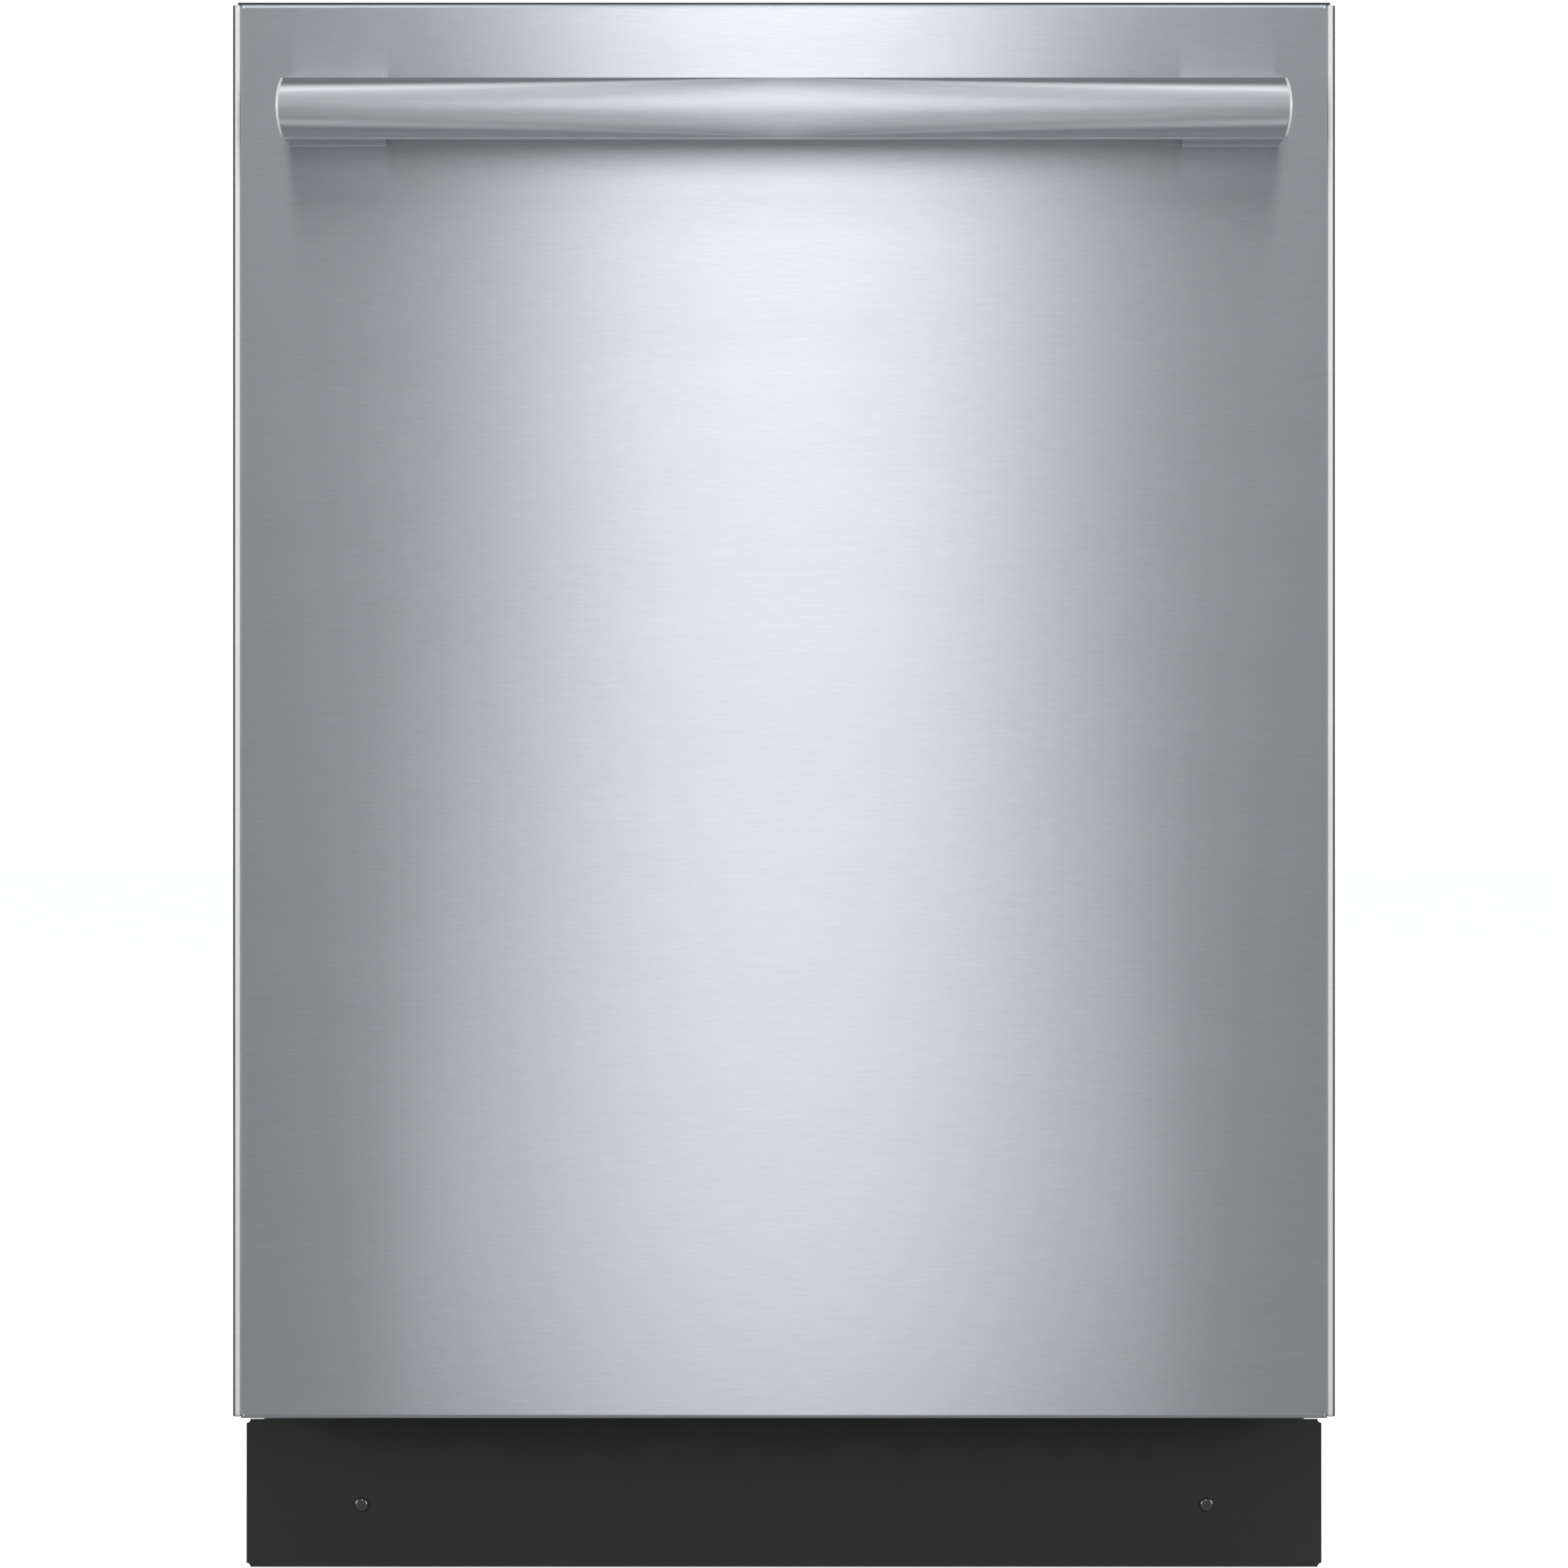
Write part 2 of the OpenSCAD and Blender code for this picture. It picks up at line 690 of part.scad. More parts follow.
// A wire basket of straight bars: floor both ways, upright bars and rims
module basket(half, y0, y1, z0, z1) {
    d = wire_d;
    inset = 14;
    step_x = 2 * (half - inset) / (rack_bars_x - 1);
    step_y = (y1 - y0 - 2 * inset) / (rack_bars_y - 1);
    xs = [for (i = [0:rack_bars_x - 1]) -half + inset + i * step_x];
    ys = [for (i = [0:rack_bars_y - 1]) y0 + inset + i * step_y];
    for (x = xs) bar_y([x, y0 + 2 * d, z0], y1 - y0 - 4 * d, d);
    for (y = ys) bar_x([-half + 2 * d, y, z0 + d + 0.1], 2 * half - 4 * d, d);
    for (x = xs, y = [y0 + 1.4 * d, y1 - 1.4 * d]) bar_z([x, y, z0 - d / 2], z1 - z0 - d / 2, d);
    for (x = [-half + 1.4 * d, half - 1.4 * d], y = ys)
        bar_z([x, y, z0 - d / 2], z1 - z0 - d / 2, d);
    for (z = [z1 + 0.6, z0 + (z1 - z0) * 0.45]) {
        shift = z > z1 ? 1.4 : 0.3;
        for (y = [y0 + shift * d, y1 - shift * d]) bar_x([-half + 2 * d, y, z], 2 * half - 4 * d, d);
        for (x = [-half + shift * d, half - shift * d]) bar_y([x, y0 + 2 * d, z], y1 - y0 - 4 * d, d);
    }
}

module fixed_tines(y, z, half, count, height) {
    for (i = [0:count - 1]) {
        x = -half + i * 2 * half / (count - 1);
        bar_z([x, y, z], height, 3);
    }
}

module lower_rack() {
    color("#8a9096") {
        basket(lower_half, rack_y, lower_back, lower_z, lower_rim);
        fixed_tines(150, lower_z + 2 * wire_d, 200, 10, 78);
        fixed_tines(225, lower_z + 2 * wire_d, 200, 10, 78);
    }
}

module wheel_carriers() {
    color("#9aa0a4") both_sides() for (y = [wheel_front_y, wheel_rear_y]) union() {
        span([lower_half + 0.9, y - 14, wheel_z - 8], [lower_half + 5, y + 14, wheel_z + 18]);
        translate([lower_half + 4, y, wheel_z]) rotate([0, 90, 0]) cylinder(h = 15, r = pin_r);
        translate([lower_half + 17.4, y, wheel_z]) rotate([0, 90, 0]) cylinder(h = 1.6, r = 6.5);
    }
}

module wheel(side, y) {
    x0 = side > 0 ? lower_half + 6 : -lower_half - 17;
    color("#b3b8bb") translate([x0, y, wheel_z]) rotate([0, 90, 0]) difference() {
        cylinder(h = 11, r = wheel_r);
        translate([0, 0, -1]) cylinder(h = 13, r = pin_r + pin_gap);
        for (a = [0:60:300]) rotate([0, 0, a]) translate([10.5, 0, -1]) cylinder(h = 13, r = 3.4);
    }
}

module wheel_front_left() { wheel(-1, wheel_front_y); }
module wheel_front_right() { wheel(1, wheel_front_y); }
module wheel_rear_left() { wheel(-1, wheel_rear_y); }
module wheel_rear_right() { wheel(1, wheel_rear_y); }

// Row of plate tines on a rod that turns to lay them flat
module tine_row() {
    color("#8a9096") union() {
        bar_x([-215, tine_y, tine_z], 430, 4);
        for (x = [-203.5:37:203.5]) bar_z([x, tine_y, tine_z], 74, 3);
    }
}

// Cutlery basket that lifts out of the front of the lower rack
module silverware_basket() {
    x_half = 150;
    y0 = rack_y + 26;
    y1 = rack_y + 98;
    z0 = lower_z + 10;
    cells = 4;
    pitch = (2 * x_half - 2) / cells;
    color("#70767b") difference() {
        union() {
            span([-x_half, y0, z0], [x_half, y1, z0 + 106]);
            span([-1, y0 + 12, z0 + 100], [1, y1 - 12, z0 + 132]);
        }
        for (i = [0:cells - 1]) {
            x = -x_half + 2 + i * pitch;
            span([x, y0 + 2, z0 + 2], [x + pitch - 2, y1 - 2, z0 + 107]);
        }
        span([-2, y0 + 20, z0 + 108], [2, y1 - 20, z0 + 126]);
    }
}

module lower_spray_arm() {
    color("#7d8388") translate([0, arm_y, 145.3]) difference() {
        union() {
            span([-225, -17, 3], [225, 17, 12]);
            cylinder(h = 14, r = 30);
        }
        translate([0, 0, -1]) cylinder(h = 12.7, r = arm_pin + pin_gap);
    }
}

module upper_rack() {
    color("#8a9096") {
        basket(upper_half, rack_y, upper_back, upper_z, upper_rim);
        fixed_tines(-70, upper_z + 2 * wire_d, 200, 10, 60);
        fixed_tines(60, upper_z + 2 * wire_d, 200, 10, 60);
        span([-14, arm_y, 478], [14, y_tub_back - 18.6, 486]);
        translate([0, arm_y, 472]) cylinder(h = 6, r = 20);
        translate([0, arm_y, 460.6]) cylinder(h = 12, r = arm_pin);
    }
}

module rail_inners() {
    color("#c0c2c4") both_sides()
        span([upper_half + 0.9, rack_y + 4, rail_z - 9], [263.4, upper_back, rail_z + 9]);
}

module rail_middles() {
    color("#a4a7a9") both_sides()
        span([263.9, rack_y + 8, rail_z - 12], [270, upper_back + 12, rail_z + 12]);
}

module upper_spray_arm() {
    color("#7d8388") translate([0, arm_y, 456.3]) difference() {
        union() {
            span([-210, -15, 3], [210, 15, 12]);
            cylinder(h = 15, r = 24);
        }
        translate([0, 0, 4]) cylinder(h = 20, r = arm_pin + pin_gap);
    }
}

// Shallow top tray for cutlery, running in the upper guides
module cutlery_tray() {
    color("#8a9096") union() {
        difference() {
            span([-upper_half, rack_y + 4, tray_z], [upper_half, upper_back, tray_rim]);
            span([-upper_half + 3, rack_y + 7, tray_z + 3], [-90, upper_back - 3, tray_rim + 1]);
            span([-87, rack_y + 7, tray_z + 3], [87, upper_back - 3, tray_rim + 1]);
            span([90, rack_y + 7, tray_z + 3], [upper_half - 3, upper_back - 3, tray_rim + 1]);
        }
        both_sides() span([upper_half - 1, rack_y + 4, tray_z + 15], [273, upper_back, tray_z + 29]);
    }
}

base_pan();
toe_kick();
toe_kick_screws();
front_feet();
rear_feet();
uprights();
hinge_brackets();
door_springs();
tub();
tub_gasket();
sound_blanket();
countertop_brackets();
sump();
filter_plate();
filter_cup();
spray_feed();
wash_pump();
wash_impeller();
drain_pump();
drain_impeller();
drain_line();
inlet_valve();
terminal_box();
float();
fixed_rails();
latch_strike();
door_panel();
door_edge_trims();
control_panel();
door_liner();
door_blanket();
display_window();
button_power();
button_auto();
button_heavy();
button_quick();
button_start();
handle_bar();
handle_end_caps();
handle_posts();
hinge_arms();
door_latch();
dispenser_body();
detergent_lid();
rinse_cap();
release_button();
lower_rack();
wheel_carriers();
wheel_front_left();
wheel_front_right();
wheel_rear_left();
wheel_rear_right();
tine_row();
silverware_basket();
lower_spray_arm();
upper_rack();
rail_inners();
rail_middles();
upper_spray_arm();
cutlery_tray();
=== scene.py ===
"""Looks for the built-in dishwasher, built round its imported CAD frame. Metres, front faces -Y, Z up."""
import json
import math

import bmesh
import bpy
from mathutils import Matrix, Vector, noise


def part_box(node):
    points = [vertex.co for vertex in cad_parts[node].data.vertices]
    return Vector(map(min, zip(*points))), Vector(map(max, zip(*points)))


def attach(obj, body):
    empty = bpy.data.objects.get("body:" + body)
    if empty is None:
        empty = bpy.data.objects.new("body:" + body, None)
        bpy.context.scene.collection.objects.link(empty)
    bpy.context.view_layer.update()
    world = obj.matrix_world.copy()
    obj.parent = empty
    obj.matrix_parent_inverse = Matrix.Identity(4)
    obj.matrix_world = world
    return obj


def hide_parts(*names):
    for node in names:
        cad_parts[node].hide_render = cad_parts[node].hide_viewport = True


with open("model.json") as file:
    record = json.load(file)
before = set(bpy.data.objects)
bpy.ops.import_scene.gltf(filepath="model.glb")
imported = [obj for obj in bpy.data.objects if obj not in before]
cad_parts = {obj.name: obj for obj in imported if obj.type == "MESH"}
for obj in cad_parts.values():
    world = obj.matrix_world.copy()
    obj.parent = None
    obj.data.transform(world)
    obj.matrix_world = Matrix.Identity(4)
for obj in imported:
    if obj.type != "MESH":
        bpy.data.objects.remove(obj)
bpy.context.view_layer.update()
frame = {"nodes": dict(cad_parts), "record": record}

# ---------- camera, lights and floor ----------

VIEW_DISTANCE = 3.5
VIEW_WIDTH = 0.8514
SENSOR = 36.0
EYE_HEIGHT = 0.435
ROOM_GLOW = 0.25
WALL_GLOW = 1.05
FLOOR_RADIUS = 30
FLOOR_DROP = 0.0002
FLOOR_GLOW = 0.8


def add_object(name, data):
    made = bpy.data.objects.new(name, data)
    bpy.context.scene.collection.objects.link(made)
    return made


def add_camera():
    """Looks straight at the door from VIEW_DISTANCE in front of its face, VIEW_WIDTH across there."""
    data = bpy.data.cameras.new("camera")
    data.sensor_width = SENSOR
    data.lens = SENSOR * VIEW_DISTANCE / VIEW_WIDTH
    data.clip_end = 100
    camera = add_object("camera", data)
    camera.location = (0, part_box("door_panel")[0].y - VIEW_DISTANCE, EYE_HEIGHT)
    camera.rotation_euler = (math.radians(90), 0, 0)
    bpy.context.scene.camera = camera


def softbox(name, place, target, width, height, watts, tint=(1, 1, 1)):
    """A rectangular light at a place, aimed at a target."""
    data = bpy.data.lights.new(name, "AREA")
    data.shape = "RECTANGLE"
    data.size = width
    data.size_y = height
    data.energy = watts
    data.color = tint
    light = add_object(name, data)
    light.location = place
    aim = Vector(target) - Vector(place)
    light.rotation_euler = aim.to_track_quat("-Z", "Y").to_euler()
    return light


def add_lights():
    """A tall strip for the door's highlight, a low glow, and wide fills all round."""
    softbox("front_strip", (0, -6.6, 2.5), (0, 0, 2.5), 0.68, 3.4, 19.5, (0.97, 0.99, 1.0))
    glow = softbox("floor_glow", (0, -1.15, 0.02), (0, -1.15, 1), 0.5, 0.8, 1.1)
    glow.visible_camera = False
    softbox("overhead", (0, -1.9, 3.2), (0, -0.2, 0.4), 3.0, 2.4, 24)
    for side in (-1, 1):
        softbox(f"fill_{side}", (side * 3.9, -4.0, 1.5), (0, 0, 0.5), 2.5, 3.0, 75)
    softbox("rear", (0.8, 3.6, 2.2), (0, 0, 0.5), 2.4, 2.0, 60)


def new_node(nodes, kind, **values):
    """A new shader node, with inputs set by name, _ standing for a space."""
    made = nodes.new("ShaderNode" + kind)
    for key, value in values.items():
        made.inputs[key.replace("_", " ")].default_value = value
    return made


def shown_as(tree, kind, seen, unseen):
    """Ends a node tree with one shader for the camera and another for every other ray."""
    out = new_node(tree.nodes, kind)
    mix = new_node(tree.nodes, "MixShader")
    path = new_node(tree.nodes, "LightPath")
    tree.links.new(path.outputs["Is Camera Ray"], mix.inputs["Fac"])
    tree.links.new(unseen.outputs[0], mix.inputs[1])
    tree.links.new(seen.outputs[0], mix.inputs[2])
    tree.links.new(mix.outputs[0], out.inputs["Surface"])


def add_world():
    """A white wall for the camera and a dim room for everything else."""
    world = bpy.data.worlds.new("studio")
    world.use_nodes = True
    nodes = world.node_tree.nodes
    nodes.clear()
    wall = new_node(nodes, "Background", Color=(1, 1, 1, 1), Strength=WALL_GLOW)
    room = new_node(nodes, "Background", Color=(0.95, 0.98, 1.0, 1), Strength=ROOM_GLOW)
    shown_as(world.node_tree, "OutputWorld", wall, room)
    bpy.context.scene.world = world


def add_floor():
    """A floor that is nearly white to the camera and grey to everything else."""
    mesh = bpy.data.meshes.new("floor")
    b = bmesh.new()
    bmesh.ops.create_circle(b, cap_ends=True, radius=FLOOR_RADIUS, segments=96)
    b.to_mesh(mesh)
    b.free()
    floor = add_object("floor", mesh)
    floor.location.z = -FLOOR_DROP
    floor.visible_glossy = False
    material = bpy.data.materials.new("pale_floor")
    material.use_nodes = True
    nodes, links = material.node_tree.nodes, material.node_tree.links
    nodes.clear()
    pale = new_node(nodes, "BsdfDiffuse", Color=(0.8, 0.8, 0.8, 1))
    glow = new_node(nodes, "Emission", Strength=FLOOR_GLOW)
    seen = new_node(nodes, "AddShader")
    links.new(pale.outputs[0], seen.inputs[0])
    links.new(glow.outputs[0], seen.inputs[1])
    unseen = new_node(nodes, "BsdfDiffuse", Color=(0.45, 0.45, 0.45, 1))
    shown_as(material.node_tree, "OutputMaterial", seen, unseen)
    mesh.materials.append(material)


add_camera()
add_world()
add_lights()
add_floor()
view = bpy.context.scene.view_settings
view.view_transform = "Standard"
view.look = "None"

# ---------- materials ----------


class Surface:
    """A procedural material being put together: one Principled shader and its textures."""

    def __init__(self, name, color, rough, metallic=0.0):
        self.material = bpy.data.materials.new(name)
        self.material.use_nodes = True
        self.nodes = self.material.node_tree.nodes
        self.links = self.material.node_tree.links
        self.shader = self.nodes["Principled BSDF"]
        self.set(Base_Color=(*color, 1), Roughness=rough, Metallic=metallic)
        self.color = color
        self.rough = rough
        self.normal = None
        self.place = new_node(self.nodes, "TexCoord").outputs["Object"]

    def set(self, **values):
        """Sets the shader's inputs by name, _ standing for a space."""
        for key, value in values.items():
            self.shader.inputs[key.replace("_", " ")].default_value = value
        return self

    def noise(self, scale, detail, stretch=(1, 1, 1), rough=0.55):
        mapping = new_node(self.nodes, "Mapping", Scale=stretch)
        self.links.new(self.place, mapping.inputs["Vector"])
        node = new_node(self.nodes, "TexNoise", Scale=scale, Detail=detail, Roughness=rough)
        self.links.new(mapping.outputs["Vector"], node.inputs["Vector"])
        return node.outputs["Fac"]

    def cells(self, scale):
        node = new_node(self.nodes, "TexVoronoi", Scale=scale)
        self.links.new(self.place, node.inputs["Vector"])
        return node.outputs["Color"]

    def range(self, value, low, high):
        """Low to high as value goes from 0.25 to 0.75, the span that noise mostly keeps to."""
        node = new_node(self.nodes, "MapRange", From_Min=0.25, From_Max=0.75, To_Min=low, To_Max=high)
        self.links.new(value, node.inputs["Value"])
        return node.outputs["Result"]

    def tint(self, value, dark, light):
        """The colour runs from dark to light times the base colour."""
        ramp = new_node(self.nodes, "Mix")
        ramp.data_type = "RGBA"
        ramp.inputs["A"].default_value = (*[c * dark for c in self.color], 1)
        ramp.inputs["B"].default_value = (*[min(1, c * light) for c in self.color], 1)
        self.links.new(self.range(value, 0, 1), ramp.inputs["Factor"])
        self.links.new(ramp.outputs["Result"], self.shader.inputs["Base Color"])
        return self

    def gloss(self, value, spread):
        """The roughness wanders by spread either way."""
        low, high = max(0.02, self.rough - spread), min(1, self.rough + spread)
        self.links.new(self.range(value, low, high), self.shader.inputs["Roughness"])
        return self

    def bump(self, value, height, strength):
        """Adds relief on top of any that is there already."""
        node = new_node(self.nodes, "Bump", Strength=strength, Distance=height)
        self.links.new(value, node.inputs["Height"])
        if self.normal:
            self.links.new(self.normal, node.inputs["Normal"])
        self.normal = node.outputs["Normal"]
        self.links.new(self.normal, self.shader.inputs["Normal"])
        return self


def brushed(name, color, rough, streak=(75, 75, 1500), aniso=1.0):
    """Steel brushed from side to side: long thin streaks, and highlights that spread up and down."""
    s = Surface(name, color, rough, 1.0)
    fine = s.noise(1.0, 4, streak)
    s.tint(fine, 0.95, 1.035)
    s.gloss(s.noise(1.0, 2, (5, 5, 40)), 0.006)
    s.bump(fine, 0.00002, 0.08)
    tangent = new_node(s.nodes, "Tangent")
    tangent.direction_type = "RADIAL"
    tangent.axis = "Z"
    s.links.new(tangent.outputs["Tangent"], s.shader.inputs["Tangent"])
    return s.set(Anisotropic=aniso, Anisotropic_Rotation=0.25).material


# Painted shade on the handle's back: where the normal turns towards the door, the colour goes to
# near-black.
BACK_SHADE_START = 0.3
BACK_SHADE_FULL = 0.8
BACK_SHADE_COLOR = (0.05, 0.05, 0.055, 1)


def handle_metal(name, color, rough):
    """Brushed like the door on its face, and painted near-black on its back, which faces the door:
    painted shade.
    """
    material = brushed(name, color, rough)
    nodes, links = material.node_tree.nodes, material.node_tree.links
    color_in = nodes["Principled BSDF"].inputs["Base Color"]
    split = new_node(nodes, "SeparateXYZ")
    links.new(new_node(nodes, "TexCoord").outputs["Normal"], split.inputs["Vector"])
    behind = new_node(nodes, "MapRange", From_Min=BACK_SHADE_START, From_Max=BACK_SHADE_FULL)
    links.new(split.outputs["Y"], behind.inputs["Value"])
    mix = new_node(nodes, "Mix")
    mix.data_type = "RGBA"
    mix.inputs["B"].default_value = BACK_SHADE_COLOR
    links.new(behind.outputs["Result"], mix.inputs["Factor"])
    links.new(color_in.links[0].from_socket, mix.inputs["A"])
    links.new(mix.outputs["Result"], color_in)
    return material


def polished(name, color, rough, metallic=1.0):
    """A smooth bright finish with a faint haze."""
    s = Surface(name, color, rough, metallic)
    s.tint(s.noise(18, 3), 0.97, 1.02)
    s.gloss(s.noise(60, 3), 0.03)
    return s.bump(s.noise(500, 2), 0.00001, 0.3).material


def plated(name, color, rough):
    """Zinc-coated sheet: a faint spangle of crystals, and handling marks."""
    s = Surface(name, color, rough, 0.85)
    s.tint(s.cells(75), 0.91, 1.07)
    s.gloss(s.noise(35, 4), 0.10)
    return s.bump(s.noise(220, 3), 0.00004, 0.4).material


def moulded(name, color, rough, grain=900, depth=0.00005):
    """Moulded plastic with a fine spark-eroded grain."""
    s = Surface(name, color, rough)
    s.tint(s.noise(14, 3), 0.93, 1.05)
    s.gloss(s.noise(40, 3), 0.05)
    return s.bump(s.noise(grain, 2), depth, 0.5).material


def coated_wire(name, color):
    """Nylon dipped over wire: thick, slightly uneven and satin."""
    s = Surface(name, color, 0.42)
    s.tint(s.noise(60, 3), 0.9, 1.08)
    s.gloss(s.noise(90, 2), 0.08)
    s.set(Coat_Weight=0.25, Coat_Roughness=0.25)
    return s.bump(s.noise(420, 2), 0.0002, 0.35).material


def felt(name, color):
    """Pressed recycled felt: short fibres of several greys."""
    s = Surface(name, color, 0.95)
    s.tint(s.noise(380, 5, (1, 1, 1), 0.75), 0.45, 1.9)
    s.set(Sheen_Weight=0.35, Sheen_Roughness=0.6)
    s.bump(s.noise(60, 4), 0.0012, 0.5)
    return s.bump(s.noise(600, 4, (1, 1, 1), 0.7), 0.0006, 0.8).material


def enamel(name, color, rough, grain, depth):
    """Baked paint on sheet metal with a fine orange peel."""
    s = Surface(name, color, rough)
    s.tint(s.noise(20, 4), 0.9, 1.08)
    s.gloss(s.noise(55, 3), 0.07)
    return s.bump(s.noise(grain, 3), depth, 0.6).material


def rubbery(name, color):
    """Soft matt rubber or bitumen, slightly uneven."""
    s = Surface(name, color, 0.62)
    s.tint(s.noise(30, 4), 0.85, 1.12)
    s.set(Sheen_Weight=0.1)
    return s.bump(s.noise(300, 3), 0.0001, 0.4).material


# Each slot: how its material is made, then the colour, the roughness and what else that takes.
LOOKS = {
    "brushed_steel": (brushed, (0.68, 0.71, 0.74), 0.28),
    # The handle's steel has painted shade on its back, which faces the door.
    "handle_steel": (handle_metal, (0.74, 0.77, 0.80), 0.36),
    # Near-white and hardly metallic, so the trims read bright from every side: painted highlight.
    "bright_trim": (polished, (0.98, 0.98, 0.98), 0.45, 0.15),
    "tub_steel": (brushed, (0.70, 0.71, 0.72), 0.30, (60, 60, 700), 0.4),
    "galvanised": (plated, (0.55, 0.57, 0.58), 0.42),
    "rail_steel": (plated, (0.72, 0.74, 0.75), 0.25),
    "spring_steel": (plated, (0.38, 0.39, 0.40), 0.35),
    "black_console": (moulded, (0.012, 0.012, 0.013), 0.32),
    "black_key": (moulded, (0.03, 0.03, 0.033), 0.45),
    "display_glass": (moulded, (0.006, 0.008, 0.011), 0.08, 200, 0.00001),
    "black_paint": (enamel, (0.026, 0.026, 0.026), 0.55, 700, 0.00008),
    "black_screw": (polished, (0.20, 0.20, 0.205), 0.10),
    "rack_coat": (coated_wire, (0.30, 0.32, 0.34)),
    "grey_plastic": (moulded, (0.28, 0.30, 0.32), 0.45),
    "wheel_plastic": (moulded, (0.45, 0.47, 0.48), 0.4),
    "dispenser_plastic": (moulded, (0.42, 0.44, 0.46), 0.38),
    "blue_plastic": (moulded, (0.05, 0.16, 0.40), 0.28),
    "white_plastic": (moulded, (0.72, 0.72, 0.69), 0.4),
    "pump_plastic": (moulded, (0.05, 0.052, 0.056), 0.45),
    "impeller_plastic": (moulded, (0.6, 0.61, 0.62), 0.4),
    "foot_plastic": (moulded, (0.03, 0.03, 0.03), 0.5),
    "rubber": (rubbery, (0.05, 0.052, 0.054)),
    "felt": (felt, (0.055, 0.056, 0.058)),
    "bitumen": (rubbery, (0.022, 0.021, 0.020)),
    "wire_copper": (plated, (0.52, 0.22, 0.10), 0.35),
    "lamp_lens": (moulded, (0.35, 0.42, 0.40), 0.15, 200, 0.00001),
}
FINISH = {name: maker(name, *values) for name, (maker, *values) in LOOKS.items()}


def finish_cad_nodes():
    """Gives each CAD node the look of its slot in the record, and the handle a steel of its own with
    painted shade on its back.
    """
    for part in frame["record"]["subparts"]:
        mesh = frame["nodes"][part["node"]].data
        mesh.materials.clear()
        mesh.materials.append(FINISH[part["material_slot"]])
    for node in ("handle_bar", "handle_end_caps"):
        frame["nodes"][node].data.materials[0] = FINISH["handle_steel"]


finish_cad_nodes()

# ---------- building helpers ----------


def middle(node):
    """The middle of a CAD node's box."""
    low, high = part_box(node)
    return (low + high) / 2


RIGHT = Vector((1, 0, 0))
BACK = Vector((0, 1, 0))
UP = Vector((0, 0, 1))
WIRE = 0.0036


def add_piece(name, data, slot, body, stands_for=()):
    """Puts a finished mesh or curve in the scene as a piece riding on a CAD body."""
    piece = add_object(name, data)
    data.materials.append(FINISH[slot])
    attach(piece, body)
    if stands_for:
        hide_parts(*stands_for)
    return piece


def mesh_piece(name, build, slot, body, stands_for=(), smooth_angle=35):
    """A mesh piece whose faces are made by build(b), smooth except at corners."""
    b = bmesh.new()
    build(b)
    bmesh.ops.recalc_face_normals(b, faces=b.faces)
    for face in b.faces:
        face.smooth = True
    for edge in b.edges:
        if len(edge.link_faces) == 2:
            edge.smooth = edge.calc_face_angle(0) < math.radians(smooth_angle)
    mesh = bpy.data.meshes.new(name)
    b.to_mesh(mesh)
    b.free()
    return add_piece(name, mesh, slot, body, stands_for)


def rounded(corners, radius, closed=False, steps=6):
    """A path through the corners, each inner one turned as a smooth bend."""
    corners = [Vector(c) for c in corners]
    path = []
    for i, here in enumerate(corners):
        if not closed and i in (0, len(corners) - 1):
            path.append(here)
            continue
        back = corners[i - 1] - here
        ahead = corners[(i + 1) % len(corners)] - here
        start = here + back.normalized() * min(radius, back.length * 0.49)
        end = here + ahead.normalized() * min(radius, ahead.length * 0.49)
        for k in range(steps + 1):
            t = k / steps
            path.append(start.lerp(here, t).lerp(here.lerp(end, t), t))
    return path


def rect_path(half, y0, y1, z, radius):
    """A level closed loop with round corners."""
    return rounded([(-half, y0, z), (half, y0, z), (half, y1, z), (-half, y1, z)], radius, True)


def wires(name, runs, slot, body, stands_for=(), facets=3):
    """One piece of round wires. Each run is (path, diameter or a diameter per point, closed)."""
    curve = bpy.data.curves.new(name, "CURVE")
    curve.dimensions = "3D"
    curve.bevel_depth = 1
    curve.bevel_resolution = facets - 1
    curve.use_fill_caps = True
    for path, diameter, closed in runs:
        sizes = diameter if isinstance(diameter, list) else [diameter] * len(path)
        spline = curve.splines.new("POLY")
        spline.points.add(len(path) - 1)
        spline.use_cyclic_u = closed
        for point, place, size in zip(spline.points, path, sizes):
            point.co = (*place, 1)
            point.radius = size / 2
    add_piece(name, curve, slot, body, stands_for)


def pin(foot, height, diameter):
    """A straight upright run with a round tip."""
    tip = [(0, 1), (1 - diameter / 2 / height, 1), (1 - diameter / 7 / height, 0.72), (1, 0.25)]
    path = [Vector(foot) + Vector((0, 0, height * t)) for t, _ in tip]
    return path, [diameter * wide for _, wide in tip], False


def loft(b, rings):
    """Skins a row of rings with equal point counts, and closes both ends."""
    rows = [[b.verts.new(p) for p in ring] for ring in rings]
    for low, high in zip(rows, rows[1:]):
        for i in range(len(low)):
            j = (i + 1) % len(low)
            b.faces.new((low[i], low[j], high[j], high[i]))
    b.faces.new(rows[0])
    b.faces.new(rows[-1])


def ring(centre, across, up, half_width, half_height, power=0.6, count=24):
    """A ring between an ellipse (power 1) and a rectangle (power 0)."""
    points = []
    for i in range(count):
        angle = 2 * math.pi * i / count
        c, s = math.cos(angle), math.sin(angle)
        points.append(centre + across * math.copysign(abs(c) ** power, c) * half_width
                      + up * math.copysign(abs(s) ** power, s) * half_height)
    return points


def lathe(b, foot, axis, profile, count=36):
    """Turns a profile of (height, radius) round an axis from foot."""
    axis = Vector(axis).normalized()
    side = axis.orthogonal().normalized()
    other = axis.cross(side)
    foot = Vector(foot)
    loft(b, [ring(foot + axis * h, side, other, r, r, 1, count) for h, r in profile])


